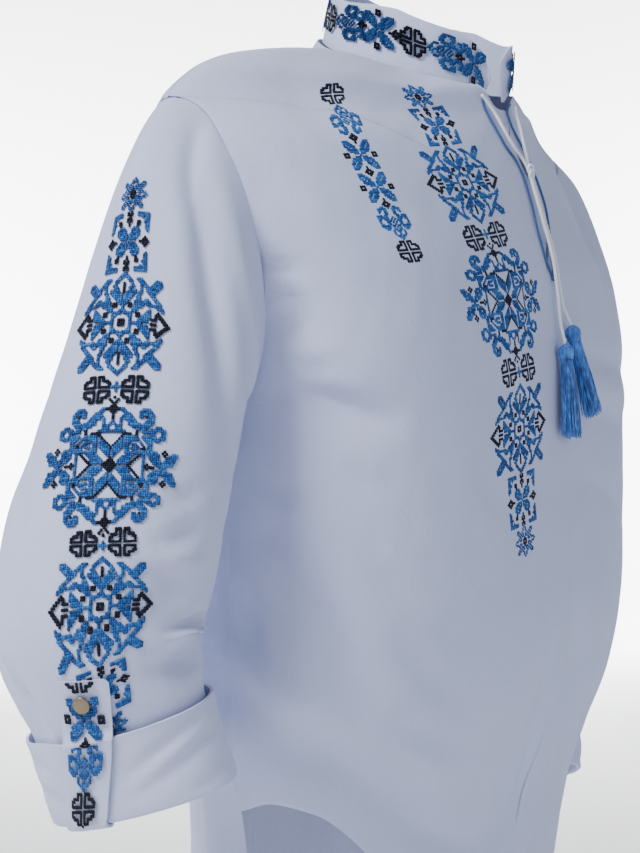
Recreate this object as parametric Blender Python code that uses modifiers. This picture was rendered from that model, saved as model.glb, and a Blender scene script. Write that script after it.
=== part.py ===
"""Embroidered linen shirt in its worn form: front, back, stand collar, two sleeves with
turned-back cuffs and roll-up tabs, snap buttons, slit binding and tie cords with tassels.

Metres, +Z up. The shirt faces -Y and the wearer's right side is -X. The origin is midway
between the two neck ends of the shoulder seams, where the shoulders carry the shirt.
"""

import math

import bmesh
import bpy
import numpy as np
from mathutils import Matrix, Vector

MM = 0.001
CLOTH = 1.6 * MM  # wall of one cloth layer
CUFF_CLOTH = 2.4 * MM  # wall of the doubled, turned-back cuff
SEAM = 0.45 * MM  # each sewn edge stops this far short of the seam line
SLEEVE_SEAM = 0.9 * MM  # the same for the edge of the sleeve
ARMPIT_SEAM = 1 * MM  # further set-back of the sleeve's edge at the armpit
ARMPIT_STAND = 4 * MM  # distance there of the sleeve's edge from the body's cloth
RIGHT, LEFT = -1, 1  # the wearer's sides, as signs of X

# Cross sections of the body, from above the neck to the hem. The middle is the y of the side
# line, front and back are depths from it, and a squareness of 2 is an ellipse.
BODY = {
    "height": (0.040, 0.020, 0.000, -0.004, -0.010, -0.018, -0.030, -0.050, -0.080, -0.120,
               -0.170, -0.220, -0.270, -0.330, -0.390, -0.450, -0.500, -0.550, -0.620, -0.700),
    "half_width": (0.052, 0.062, 0.073, 0.128, 0.176, 0.212, 0.236, 0.254, 0.264, 0.258,
                   0.243, 0.231, 0.225, 0.226, 0.230, 0.232, 0.222, 0.208, 0.200, 0.198),
    "middle": (0.006, 0.003, 0.000, 0.010, 0.022, 0.034, 0.044, 0.052, 0.050, 0.047,
               0.044, 0.036, 0.028, 0.022, 0.020, 0.020, 0.020, 0.020, 0.020, 0.020),
    "front": (0.010, 0.016, 0.026, 0.042, 0.065, 0.090, 0.114, 0.125, 0.134, 0.145,
              0.155, 0.153, 0.149, 0.147, 0.147, 0.139, 0.124, 0.106, 0.095, 0.088),
    "back": (0.056, 0.072, 0.087, 0.084, 0.078, 0.072, 0.069, 0.073, 0.083, 0.094,
             0.101, 0.104, 0.105, 0.104, 0.104, 0.108, 0.113, 0.118, 0.124, 0.128),
    "squareness": (2.0, 2.0, 2.0, 1.7, 1.5, 1.45, 1.45, 1.6, 2.1, 2.45,
                   2.9, 3.2, 2.9, 2.6, 2.4, 2.2, 2.0, 2.0, 2.0, 2.0),
}

NECK_RADIUS = 72 * MM
SHOULDER_TIP = -0.050  # height of the outer end of the shoulder seam
ARMPIT = -0.256
ARMHOLE_HALF = 0.056  # half its width, front to back
SLIT_FOOT = -0.164

# Sections of the sleeves at right angles to the arm, from just under the armhole to the fold
# of the cuff: centre, radius outwards from the body and radius front to back.
SLEEVE_RIGHT = {
    "along": (0.0, 0.19, 0.39, 0.57, 0.71, 0.80, 1.0),
    "x": (-0.286, -0.303, -0.322, -0.331, -0.3255, -0.3195, -0.3085),
    "y": (0.047, 0.050, 0.053, 0.056, 0.0510, 0.0470, 0.0350),
    "z": (-0.250, -0.297, -0.350, -0.398, -0.4350, -0.4575, -0.5100),
    "wide": (0.053, 0.058, 0.060, 0.058, 0.052, 0.048, 0.045),
    "deep": (0.068, 0.071, 0.074, 0.073, 0.067, 0.061, 0.065),
}
SLEEVE_LEFT = {
    "along": (0.0, 0.19, 0.39, 0.57, 0.71, 0.80, 1.0),
    "x": (0.289, 0.303, 0.315, 0.319, 0.313, 0.305, 0.285),
    "y": (0.046, 0.054, 0.062, 0.068, 0.069, 0.066, 0.053),
    "z": (-0.250, -0.303, -0.365, -0.424, -0.470, -0.500, -0.568),
    "wide": (0.053, 0.058, 0.060, 0.058, 0.052, 0.048, 0.045),
    "deep": (0.068, 0.071, 0.073, 0.071, 0.065, 0.057, 0.056),
}

CUFF_HEIGHT = 57 * MM
CUFF_STAND = (2.9 * MM, 6.0 * MM)  # lift of its inside off the sleeve, at its fold and its edge
CUFF_DROP = 1.5 * MM  # how far the fold hangs below the sleeve's own wall
TAB_WIDTH = 29 * MM
TAB_ABOVE_CUFF = 37 * MM
TAB_CLOTH = 2.0 * MM
SNAP_RADIUS = 5.8 * MM
SNAP_HEIGHT = 2.2 * MM
SNAP_FROM_END = 14 * MM
COLLAR_HEIGHT = 38.5 * MM
COLLAR_CLOTH = 2.2 * MM
COLLAR_CORNERS = ((34 * MM, 27 * MM), (9 * MM, 9 * MM))  # length and height, right and left
COLLAR_ENDS = (20.0 * MM, 13.5 * MM)  # from the centre, right and left
COLLAR_END_RISE = (4.2 * MM, 6.0 * MM)
COLLAR_END_RUN = 50 * MM  # how far from its ends they lift and bend
COLLAR_LEAN = (1 * MM, 9 * MM)  # inwards over its height, at the front and at the back
BINDING_RADIUS = 0.9 * MM
TIE_RADIUS = 1.4 * MM
TASSEL_HEAD_RADIUS = 5.6 * MM
TASSEL_GRID = 6  # the strands of a tassel stand on a grid of this many each way
FREE = 0.35 * MM  # gap between pieces that lie on each other

# Numbers of cells
FRONT_COLUMNS = 12  # from the centre to the side
BACK_COLUMNS = 8
COLUMN_CROWD = 1.3  # above 1, the columns crowd towards the centre
EDGE_LEAD = 1.6  # above 1, a row reaches its edge's height before the edge
SIDE_ROWS, ARMHOLE_ROWS, SHOULDER_ROWS = 10, 11, 7
SLEEVE_ROWS = 18


def between(table, key, column, at):
    """A column of a table between its rows, on a smooth curve that never overshoots."""
    knots = np.array(table[key])
    values = np.array(table[column])
    if knots[0] > knots[-1]:
        knots, values = knots[::-1], values[::-1]
    rise = np.diff(values) / np.diff(knots)
    product = rise[:-1] * rise[1:]
    total = np.where(product > 0, rise[:-1] + rise[1:], 1.0)
    inner = np.where(product > 0, 2 * product / total, 0.0)
    slopes = np.concatenate([rise[:1], inner, rise[-1:]])
    row = np.clip(np.searchsorted(knots, at) - 1, 0, len(knots) - 2)
    span = knots[row + 1] - knots[row]
    t = np.clip((at - knots[row]) / span, 0, 1)
    return (
        values[row] * (1 + 2 * t) * (1 - t) ** 2
        + values[row + 1] * t * t * (3 - 2 * t)
        + span * t * (1 - t) * (slopes[row] * (1 - t) - slopes[row + 1] * t)
    )


def body(turn, z):
    """Body point for a turn of 0 at the centre front, 1 at the side and 2 at the back."""
    angle = turn * math.pi / 2
    power = 2 / between(BODY, "height", "squareness", z)
    forward = np.cos(angle)
    depth = np.where(
        forward > 0,
        between(BODY, "height", "front", z),
        between(BODY, "height", "back", z),
    )
    x = between(BODY, "height", "half_width", z)
    x = x * np.sign(np.sin(angle)) * np.abs(np.sin(angle)) ** power
    y = between(BODY, "height", "middle", z) - depth * np.sign(forward) * np.abs(forward) ** power
    return np.stack([x, y, z + 0 * x], axis=-1)


def turn_at(y, z):
    """The turn at which the body's section at a height passes this y."""
    middle = between(BODY, "height", "middle", z)
    front = y < middle
    depth = np.where(
        front, between(BODY, "height", "front", z), between(BODY, "height", "back", z)
    )
    power = between(BODY, "height", "squareness", z) / 2
    ahead = np.clip(np.abs(middle - y) / depth, 0, 1) ** power
    turn = np.arccos(ahead) * 2 / math.pi
    return np.where(front, turn, 2 - turn)


def neckline(part):
    """Turn and height of the neck seam, for a part of 0 in front, 1 at the side, 2 behind."""
    angle = np.abs(part) * math.pi / 2
    x, y = NECK_RADIUS * np.sin(angle), -NECK_RADIUS * np.cos(angle)
    low, high = np.full_like(x, -0.05), np.full_like(x, 0.04)
    for _ in range(30):
        z = (low + high) / 2
        outside = body(turn_at(y, z), z)[..., 0] > x
        low, high = np.where(outside, z, low), np.where(outside, high, z)
    return turn_at(y, z) * np.sign(part), z


def armhole(around):
    """Turn and height of the armhole: 0 at the shoulder, 0.25 in front, 0.5 at the armpit."""
    angle = around * 2 * math.pi
    z = (SHOULDER_TIP + ARMPIT) / 2 + (SHOULDER_TIP - ARMPIT) / 2 * np.cos(angle)
    y = between(BODY, "height", "middle", z) - ARMHOLE_HALF * np.sin(angle)
    return turn_at(y, z), z


def outward(surface, a, b, step=1e-4):
    """Unit normals of a surface of two values, by its slopes along them."""
    across = surface(a + step, b) - surface(a - step, b)
    up = surface(a, b + step) - surface(a, b - step)
    normal = np.cross(across, up)
    return normal / np.linalg.norm(normal, axis=-1, keepdims=True)


def folds(table, side, a, b, scale):
    """Height of the soft folds of a table at places (a, b), measured with a scale in metres."""
    height = np.zeros(np.broadcast(a, b).shape)
    for row in table:
        wearer_side, a0, b0, a1, b1, bow, width, rise = row
        if wearer_side not in (side, 0):
            continue
        run = np.array([(a1 - a0) * scale[0], (b1 - b0) * scale[1]])
        length = np.linalg.norm(run)
        run = run / length
        far_a, far_b = (a - a0) * scale[0], (b - b0) * scale[1]
        along = np.clip((far_a * run[0] + far_b * run[1]) / length, 0, 1)
        past = np.abs((far_a * run[0] + far_b * run[1]) - along * length)
        off = far_b * run[0] - far_a * run[1] - bow * 4 * along * (1 - along)
        taper = np.sin(math.pi * np.clip(0.12 + 0.76 * along, 0, 1))
        height = height + rise * taper * np.exp(-(off * off + past * past) / width**2)
    return height


# Each fold runs from (a0, b0) to (a1, b1) on the wearer's right (-1), left (1) or both (0), bows
# to one side, and is a trough where its rise is negative.
# Columns: side, a0, b0, a1, b1, bow, width, rise.
# Largest folds of the body, from one turn and height to another.
BODY_FOLDS = (
    (-1, 0.99, -0.330, 0.62, -0.452, -0.006, 0.021, -0.010),
    (-1, 0.97, -0.420, 0.72, -0.470, 0.000, 0.017, 0.006),
    (-1, 1.05, -0.445, 0.38, -0.550, -0.008, 0.021, -0.010),
    (-1, 0.87, -0.245, 0.55, -0.268, 0.004, 0.017, -0.005),
    (-1, 0.86, -0.155, 0.76, -0.205, 0.000, 0.015, -0.005),
    (1, 0.34, -0.060, 0.27, -0.150, -0.010, 0.024, -0.009),
    (1, 0.80, -0.235, 0.42, -0.228, 0.005, 0.018, -0.005),
    (1, 0.05, -0.420, 0.20, -0.560, 0.006, 0.016, -0.006),
    (1, 0.97, -0.345, 0.60, -0.425, -0.006, 0.020, -0.009),
    (1, 1.02, -0.430, 0.50, -0.520, -0.008, 0.020, -0.009),
    (-1, 1.22, -0.290, 1.30, -0.600, 0.012, 0.022, -0.009),
    (1, 1.18, -0.320, 1.34, -0.620, -0.010, 0.022, -0.009),
    (-1, 1.62, -0.260, 1.55, -0.640, 0.010, 0.024, -0.010),
    (1, 1.70, -0.300, 1.62, -0.650, -0.012, 0.024, -0.009),
    (-1, 1.30, -0.110, 1.45, -0.230, 0.006, 0.020, -0.006),
    (1, 1.32, -0.120, 1.50, -0.210, 0.006, 0.020, -0.006),
)
BODY_SCALE = (0.36, 1.0)


# How the cloth round the neck rises, against the angle round it from the front.
NECK_RISE = {
    "angle": (0.0, 15.0, 30.0, 45.0, 60.0, 75.0, 90.0, 105.0, 120.0, 150.0, 180.0),
    "rise": (
        0.0090, 0.0080, 0.0035, 0.0, -0.0054, -0.0090, -0.0062, -0.0010, 0.0014, 0.0, 0.0,
    ),
}
NECK_SPREAD = 42 * MM


def neck_rise(points):
    """Rise of the cloth at places near the neck."""
    angle = np.degrees(np.abs(np.arctan2(points[..., 0], -points[..., 1])))
    away = np.hypot(points[..., 0], points[..., 1]) - NECK_RADIUS
    return between(NECK_RISE, "angle", "rise", angle) * np.exp(-((away / NECK_SPREAD) ** 2))


def body_cloth(side, turn, z):
    """The draped cloth of one side of the body."""
    lift = folds(BODY_FOLDS, side, turn, z, BODY_SCALE)
    points = body(turn, z) + outward(body, turn, z) * lift[..., None]
    points = points + neck_rise(points)[..., None] * np.array([0, 0, 1.0])
    return points * np.array([side, 1, 1])


# Edges of the slit, out from the centre, against the part of its length from the neck. The
# right front runs on past its piping, under the left one.
SLIT = {
    "part": (0.0, 0.06, 0.12, 0.18, 0.26, 0.37, 0.47, 0.56, 0.64, 0.76, 0.90, 1.0),
    "right": (
        -0.0122, -0.0017, 0.0008, -0.0014, -0.0030, -0.0080, -0.0125, -0.0140, -0.0125, -0.0078,
        -0.0022, 0.0,
    ),
    "left": (
        0.0135, 0.0030, 0.0006, 0.0030, 0.0086, 0.0146, 0.0172, 0.0178, 0.0160, 0.0105,
        0.0042, 0.0,
    ),
}
PIPING = {
    "part": (0.0, 0.15, 0.27, 0.36, 0.46, 0.58, 0.76, 0.90, 1.0),
    "right": (0.0290, 0.0262, 0.0204, 0.0098, 0.0062, 0.0066, 0.0088, 0.0070, 0.0),
}
NECK_FRONT = -0.0305  # height of the neck seam at the centre front
FRONT_HEM = {
    "turn": (0.0, 0.16, 0.34, 0.48, 0.60, 0.74, 0.88, 1.0),
    "z": (-0.634, -0.633, -0.614, -0.583, -0.553, -0.531, -0.524, -0.530),
}
BACK_HEM = {"turn": (1.0, 1.15, 1.5, 2.0), "z": (-0.655, -0.675, -0.690, -0.695)}
SLIT_ROWS = 3  # rows of the back beside the open side slit
CHEST_LOW, CHEST_HIGH = -0.270, -0.092  # heights of the centre rows level with the armhole


def panel_rows(front):
    """Rows of a panel from hem to neck: turn and height at the outer edge, and centre height."""
    hem = FRONT_HEM["z"][-1]
    low = BACK_HEM["z"][0]
    side = np.linspace(hem, ARMPIT, SIDE_ROWS + 1)
    if not front:
        side = np.concatenate([np.linspace(low, hem, SLIT_ROWS + 1)[:-1], side])
    around = np.linspace(0.5, 0.0 if front else 1.0, ARMHOLE_ROWS + 1)[1:]
    hole_turn, hole_z = armhole(around)
    ridge = SHOULDER_TIP * (1 - np.linspace(0, 1, SHOULDER_ROWS + 1)[1:]) ** 1.6
    edge_turn = np.concatenate([np.ones_like(side), hole_turn, np.ones_like(ridge)])
    edge_z = np.concatenate([side, hole_z, ridge])
    top = NECK_FRONT if front else neckline(np.array(2.0))[1]
    bottom = FRONT_HEM["z"][0] if front else BACK_HEM["z"][-1]
    centre_z = np.concatenate([
        np.linspace(bottom, CHEST_LOW, len(side)),
        np.linspace(CHEST_LOW, CHEST_HIGH, ARMHOLE_ROWS + 1)[1:],
        np.linspace(CHEST_HIGH, top, SHOULDER_ROWS + 1)[1:],
    ])
    return edge_turn, edge_z, centre_z


def slit_edge(side, z):
    """Distance of the slit's edge from the centre at a height."""
    part = np.clip((z - NECK_FRONT) / (SLIT_FOOT - NECK_FRONT), 0, 1)
    return between(SLIT, "part", "right" if side == RIGHT else "left", part)


def piping_edge(side, z):
    """Distance of the piping from the centre at a height."""
    part = np.clip((z - NECK_FRONT) / (SLIT_FOOT - NECK_FRONT), 0, 1)
    if side == RIGHT:
        return np.maximum(between(PIPING, "part", "right", part), 1.3 * MM)
    return np.maximum(between(SLIT, "part", "left", part), 1.3 * MM)


def panel(front, side):
    """Points of half a front or back, rows from hem to neck, columns from centre to side."""
    edge_turn, edge_z, centre_z = panel_rows(front)
    columns = FRONT_COLUMNS if front else BACK_COLUMNS
    centre = 0.0 if front else 2.0
    u = np.linspace(0, 1, columns + 1)[None, :] ** COLUMN_CROWD
    v = (np.arange(len(edge_z)) / (len(edge_z) - 1))[:, None]
    inner_turn = np.full(len(centre_z), centre)
    start = 0.0
    if front:
        gap = slit_edge(side, centre_z + neck_rise(body(0 * centre_z, centre_z)))
        power = between(BODY, "height", "squareness", centre_z) / 2
        ratio = np.abs(gap) / between(BODY, "height", "half_width", centre_z)
        inner_turn = np.sign(gap) * np.arcsin(ratio**power) * 2 / math.pi
        start = math.asin(gap[-1] / NECK_RADIUS) * 2 / math.pi
    part = start + (1 - start) * u if front else 2 - u
    hem = FRONT_HEM if front else BACK_HEM
    hem_turn = centre + (1 - centre) * u
    hem_z = between(hem, "turn", "z", hem_turn)
    neck_turn, neck_z = neckline(part)
    turn = (1 - u) * inner_turn[:, None] + u * edge_turn[:, None]
    early = 1 - (1 - u) ** EDGE_LEAD
    z = (1 - early) * centre_z[:, None] + early * edge_z[:, None]
    near_neck, near_hem = v**3, (1 - v) ** 4
    turn = turn + near_neck * (neck_turn - turn[-1:]) + near_hem * (hem_turn - turn[:1])
    z = z + near_neck * (neck_z - z[-1:]) + near_hem * (hem_z - z[:1])
    return body_cloth(side, turn, z)


def draw_in(points, edge, distance=SEAM):
    """Moves one edge of a grid of points back from its seam line."""
    rim, inner = {
        "first_row": (np.s_[0], np.s_[1]),
        "last_row": (np.s_[-1], np.s_[-2]),
        "first_column": (np.s_[:, 0], np.s_[:, 1]),
        "last_column": (np.s_[:, -1], np.s_[:, -2]),
    }[edge]
    run = points[inner] - points[rim]
    run = run / np.linalg.norm(run, axis=-1, keepdims=True)
    points[rim] += run * np.reshape(distance, (-1, 1))


def sleeve_ring(table, side, around, along):
    """Point on the sleeve below its cap, around the arm and along it."""
    step = 1e-3
    centre, ahead = (
        np.stack([between(table, "along", axis, at) for axis in "xyz"], axis=-1)
        for at in (along, np.minimum(along + step, 1.0))
    )
    behind = np.stack(
        [between(table, "along", axis, np.maximum(along - step, 0.0)) for axis in "xyz"], axis=-1
    )
    run = ahead - behind
    run = run / np.linalg.norm(run, axis=-1, keepdims=True)
    out = np.cross(run, np.array([0.0, side, 0.0]))
    out = out / np.linalg.norm(out, axis=-1, keepdims=True)
    forward = np.cross(run, out) * side
    angle = around * 2 * math.pi
    wide = between(table, "along", "wide", along) * np.cos(angle)
    deep = between(table, "along", "deep", along) * np.sin(angle)
    return centre + out * wide[..., None] + forward * deep[..., None]


CAP = 0.38  # part of the sleeve's length taken by its cap
CAP_LEAN = (1.02, 0.35)  # lean of the cloth leaving the armhole, in radians, top and armpit


def sleeve_form(table, side, around, along):
    """Smooth sleeve: a cap that leaves the armhole and turns into the arm's tube."""
    turn, z = armhole(around)
    low = 0.5 - 0.5 * np.cos(around * 2 * math.pi)
    seam = body(turn, z) + (ARMPIT_STAND * low**2)[..., None] * np.array([1.0, 0, 0])
    seam = seam * np.array([side, 1, 1])
    below = np.clip((along - CAP) / (1 - CAP), 0, 1)
    tube = sleeve_ring(table, side, around, below)
    end = sleeve_ring(table, side, around, np.zeros_like(along))
    onward = sleeve_ring(table, side, around, np.full_like(along, 0.02)) - end
    onward = onward / np.linalg.norm(onward, axis=-1, keepdims=True)
    reach = np.linalg.norm(end - seam, axis=-1, keepdims=True)
    high = (0.5 + 0.5 * np.cos(around * 2 * math.pi))[..., None]
    lean = CAP_LEAN[1] + (CAP_LEAN[0] - CAP_LEAN[1]) * high
    leave = np.concatenate([side * np.sin(lean), 0 * lean, -np.cos(lean)], axis=-1)
    t = np.clip(along / CAP, 0, 1)[..., None]
    cap = (
        seam * (1 + 2 * t) * (1 - t) ** 2
        + end * t * t * (3 - 2 * t)
        + leave * reach * t * (1 - t) ** 2
        - onward * reach * t * t * (1 - t)
    )
    return np.where(along[..., None] < CAP, cap, tube)


# Largest folds of the sleeves, from one place around and along to another.
SLEEVE_FOLDS = (
    (-1, 0.115, 0.06, 0.262, 0.46, 0.004, 0.016, -0.010),
    (-1, 0.175, 0.05, 0.345, 0.24, 0.000, 0.018, 0.005),
    (-1, 0.150, 0.70, 0.240, 0.68, 0.000, 0.015, -0.005),
    (-1, 0.175, 0.80, 0.330, 0.775, 0.004, 0.015, -0.008),
    (-1, -0.120, 0.81, -0.050, 0.90, 0.000, 0.015, -0.004),
    (-1, 0.420, 0.55, 0.560, 0.62, 0.004, 0.017, -0.007),
    (-1, -0.340, 0.64, -0.220, 0.72, -0.004, 0.016, -0.006),
    (-1, -0.260, 0.20, -0.180, 0.52, 0.006, 0.018, -0.007),
    (1, 0.250, 0.10, 0.250, 0.45, 0.000, 0.050, 0.010),
    (1, 0.130, 0.08, 0.230, 0.44, -0.006, 0.017, -0.009),
    (1, 0.160, 0.66, 0.300, 0.70, 0.004, 0.016, -0.006),
    (1, 0.190, 0.82, 0.330, 0.78, 0.004, 0.015, -0.007),
    (1, 0.440, 0.58, 0.580, 0.63, 0.004, 0.017, -0.007),
    (1, -0.250, 0.18, -0.170, 0.50, 0.008, 0.018, -0.007),
    (1, -0.140, 0.70, -0.040, 0.78, -0.004, 0.016, -0.005),
)
SLEEVE_SCALE = (0.42, 0.46)


def sleeve_cloth(side, around, along, lift=0.0):
    """The sleeve's draped cloth, raised by a lift."""
    table = SLEEVE_RIGHT if side == RIGHT else SLEEVE_LEFT

    def surface(a, b):
        return sleeve_form(table, side, a, b)

    wrapped = (around + 0.38) % 1 - 0.38
    raised = folds(SLEEVE_FOLDS, side, wrapped, along, SLEEVE_SCALE) + lift
    normal = outward(surface, around, np.clip(along, 0.002, 0.998), 1e-3) * side
    return surface(around, along) + normal * raised[..., None]


def cuff_place(side, around, up, lift=0.0):
    """Point on the inside of a turned-back cuff, up from its fold in parts of its height."""
    table = SLEEVE_RIGHT if side == RIGHT else SLEEVE_LEFT
    path = np.array([table[axis] for axis in "xyz"])
    length = np.linalg.norm(np.diff(path, axis=1), axis=0).sum() / (1 - CAP)
    along = 1 - np.clip(up, 0, 1) * CUFF_HEIGHT / length
    stand = CUFF_STAND[0] + (CUFF_STAND[1] - CUFF_STAND[0]) * np.clip(up, 0, 1) ** 0.7
    points = sleeve_cloth(side, around, along, stand + lift)
    ahead = sleeve_cloth(side, around, along - 0.01, stand + lift)
    run = points - ahead
    run = run / np.linalg.norm(run, axis=-1, keepdims=True)
    return points + run * CUFF_DROP * (1 - np.clip(up, 0, 1))[..., None]


def chest(x, z, lift):
    """Point in front of the chest, off the middle of its cloth."""
    side = np.where(x < 0, RIGHT, LEFT)
    rise = 0 * z
    for _ in range(3):
        low = z - rise
        power = between(BODY, "height", "squareness", low) / 2
        ratio = np.abs(x) / between(BODY, "height", "half_width", low)
        turn = np.arcsin(ratio**power) * 2 / math.pi
        place = body(turn, low)
        rise = neck_rise(place)
    place = place + rise[..., None] * np.array([0, 0, 1.0])
    place = place + outward(body, turn, low) * lift[..., None]
    return place * np.stack([side, 1 + 0 * x, 1 + 0 * x], axis=-1)


def material(name, colour, roughness, metallic=0.0):
    made = bpy.data.materials.new(name)
    made.use_nodes = True
    shader = made.node_tree.nodes["Principled BSDF"]
    shader.inputs["Base Color"].default_value = (*colour, 1)
    shader.inputs["Roughness"].default_value = roughness
    shader.inputs["Metallic"].default_value = metallic
    return made


def cloth_piece(name, grids, wall, finish, collection):
    """A cloth solid: grids of points made into one sheet and given a wall, growing outwards."""
    shape = bmesh.new()
    for points in grids:
        rows, columns = points.shape[0] - 1, points.shape[1] - 1
        made = bmesh.ops.create_grid(shape, x_segments=columns, y_segments=rows, size=0.5)
        for vertex in made["verts"]:
            row = round((vertex.co.y + 0.5) * rows)
            column = round((vertex.co.x + 0.5) * columns)
            vertex.co = points[row, column]
    bmesh.ops.remove_doubles(shape, verts=shape.verts, dist=1e-6)
    mesh = bpy.data.meshes.new(name)
    shape.to_mesh(mesh)
    shape.free()
    mesh.shade_smooth()
    mesh.materials.append(finish)
    piece = bpy.data.objects.new(name, mesh)
    collection.objects.link(piece)
    thick = piece.modifiers.new("wall", "SOLIDIFY")
    thick.thickness = wall
    thick.offset = 1.0
    return piece


def make_body(collection, linen):
    halves = [panel(True, side) for side in (RIGHT, LEFT)]
    for points in halves:
        draw_in(points, "last_column")
        draw_in(points, "last_row")
    cloth_piece("front", [halves[0][:, ::-1], halves[1]], CLOTH, linen, collection)
    halves = [panel(False, side) for side in (LEFT, RIGHT)]
    for points in halves:
        draw_in(points, "last_column")
        draw_in(points, "last_row")
    cloth_piece("back", [halves[0][:, ::-1], halves[1]], CLOTH, linen, collection)


def make_sleeve(side, collection, linen):
    columns = 2 * ARMHOLE_ROWS
    around, along = np.meshgrid(
        np.linspace(0, 1, columns + 1), np.linspace(1, 0, SLEEVE_ROWS + 1)
    )
    points = sleeve_cloth(side, around, along)
    low = 0.5 - 0.5 * np.cos(around[-1] * 2 * math.pi)
    draw_in(points, "last_row", SLEEVE_SEAM + ARMPIT_SEAM * low)
    if side == RIGHT:
        points = points[:, ::-1]
    name = "sleeve_right" if side == RIGHT else "sleeve_left"
    cloth_piece(name, [points], CLOTH, linen, collection)


def named(word, side):
    return word + ("_right" if side == RIGHT else "_left")


def make_cuff(side, collection, linen):
    columns = 2 * ARMHOLE_ROWS
    around, up = np.meshgrid(np.linspace(0, 1, columns + 1), np.array([0, 0.1, 0.4, 0.75, 1.0]))
    points = cuff_place(side, around, up)
    if side == RIGHT:
        points = points[:, ::-1]
    cloth_piece(named("cuff", side), [points], CUFF_CLOTH, linen, collection)


TAB_PATH = {"up": (0.0, 0.057, 0.094), "around": (-0.032, 0.030, 0.0465)}
TAB_SLANT = 0.15  # how much its rows slope against the cuff's


def tab_points(side, across, up, lift):
    """Points on a roll-up tab, up from the cuff's fold in metres."""
    up = up - TAB_SLANT * across * np.clip(up / 0.02, 0, 1)
    on_cuff = np.clip(up / CUFF_HEIGHT, 0, 1)
    past = np.clip(up / CUFF_HEIGHT - 1, 0, None)
    girth = 0.335
    around = between(TAB_PATH, "up", "around", up) + across / girth
    drop = 1 / (1 + (past / 0.12) ** 2)
    cuff_top = cuff_place(side, around, on_cuff, CUFF_CLOTH + lift)
    table = SLEEVE_RIGHT if side == RIGHT else SLEEVE_LEFT
    path = np.array([table[axis] for axis in "xyz"])
    length = np.linalg.norm(np.diff(path, axis=1), axis=0).sum() / (1 - CAP)
    along = 1 - up / length
    stand = (CUFF_STAND[1] + CUFF_CLOTH) * drop + (CLOTH + FREE) * (1 - drop) + lift
    above = sleeve_cloth(side, around, along, stand)
    return np.where(past[..., None] > 0, above, cuff_top)


def make_tab(side, collection, linen, metal):
    length = CUFF_HEIGHT + TAB_ABOVE_CUFF
    across, up = np.meshgrid(
        np.linspace(-TAB_WIDTH / 2, TAB_WIDTH / 2, 5), np.linspace(-0.5 * MM, length, 14)
    )
    points = tab_points(side, across, up, FREE)
    if side == RIGHT:
        points = points[:, ::-1]
    cloth_piece(named("tab", side), [points], TAB_CLOTH, linen, collection)
    at = np.array([[0.0, 2 * MM, 0.0]])
    up = length - SNAP_FROM_END + np.array([[0.0, 0.0, 2 * MM]])
    base, beside, above = tab_points(side, at, up, FREE + TAB_CLOTH)[0]
    normal = np.cross(beside - base, above - base) * side
    normal = normal / np.linalg.norm(normal)
    if np.dot(normal, [side, -0.3, 0]) < 0:
        normal = -normal
    shape = bmesh.new()
    bmesh.ops.create_cone(
        shape, cap_ends=True, segments=20, radius1=SNAP_RADIUS, radius2=SNAP_RADIUS, depth=SNAP_HEIGHT
    )
    top = [edge for edge in shape.edges if all(v.co.z > 0 for v in edge.verts)]
    bmesh.ops.bevel(
        shape, geom=top, offset=0.9 * MM, segments=2, affect="EDGES", profile=0.5, material=-1
    )
    mesh = bpy.data.meshes.new(named("snap", side))
    shape.to_mesh(mesh)
    shape.free()
    mesh.shade_smooth()
    mesh.materials.append(metal)
    piece = bpy.data.objects.new(named("snap", side), mesh)
    collection.objects.link(piece)
    lift = SNAP_HEIGHT / 2 + 2 * FREE
    piece.location = base + normal * lift
    piece.rotation_mode = "QUATERNION"
    piece.rotation_quaternion = Vector(normal).to_track_quat("Z", "Y")


# How far the collar's top stands out near its ends, against the distance from the end.
COLLAR_BEND = {
    "run": (0.0, 0.008, 0.016, 0.026, 0.038, 0.050),
    "right": (0.0070, 0.0049, 0.0032, 0.0016, 0.0004, 0.0),
    "left": (-0.0035, 0.0022, 0.0048, 0.0042, 0.0014, 0.0),
}


def collar_points(around, up):
    """Points on the collar's inside: around from its right end to its left, up from the seam."""
    right_end, left_end = (math.asin(end / NECK_RADIUS) for end in COLLAR_ENDS)
    angle = -right_end - around * (2 * math.pi - right_end - left_end)
    wrapped = np.abs((angle + math.pi) % (2 * math.pi) - math.pi)
    _, seam = neckline(wrapped * 2 / math.pi)
    rear = (0.5 - 0.5 * np.cos(wrapped)) ** 1.5
    lean = COLLAR_LEAN[0] + (COLLAR_LEAN[1] - COLLAR_LEAN[0]) * rear
    girth = NECK_RADIUS * (2 * math.pi - right_end - left_end)
    height = COLLAR_HEIGHT
    for part, (long, tall) in zip((around, 1 - around), COLLAR_CORNERS):
        short = np.clip(1 - part * girth / long, 0, 1)
        height = height - tall * (1 - np.sqrt(1 - short**2))
    radius = NECK_RADIUS - COLLAR_CLOTH - 0.3 * MM - lean * up
    bend = between(COLLAR_BEND, "run", "right", around * girth)
    bend = bend + between(COLLAR_BEND, "run", "left", (1 - around) * girth)
    radius = radius + bend * (0.35 + 0.65 * up)
    right, left = (
        np.clip(1 - part * girth / COLLAR_END_RUN, 0, 1) ** 2 for part in (around, 1 - around)
    )
    rim = np.stack([NECK_RADIUS * np.sin(angle), -NECK_RADIUS * np.cos(angle)], axis=-1)
    seam = seam + neck_rise(rim) * (1 - 0.6 * up)  # its upper edge runs straighter
    seam = seam + COLLAR_END_RISE[0] * right + COLLAR_END_RISE[1] * left
    return np.stack(
        [radius * np.sin(angle), -radius * np.cos(angle), seam + height * up], axis=-1
    )


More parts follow.
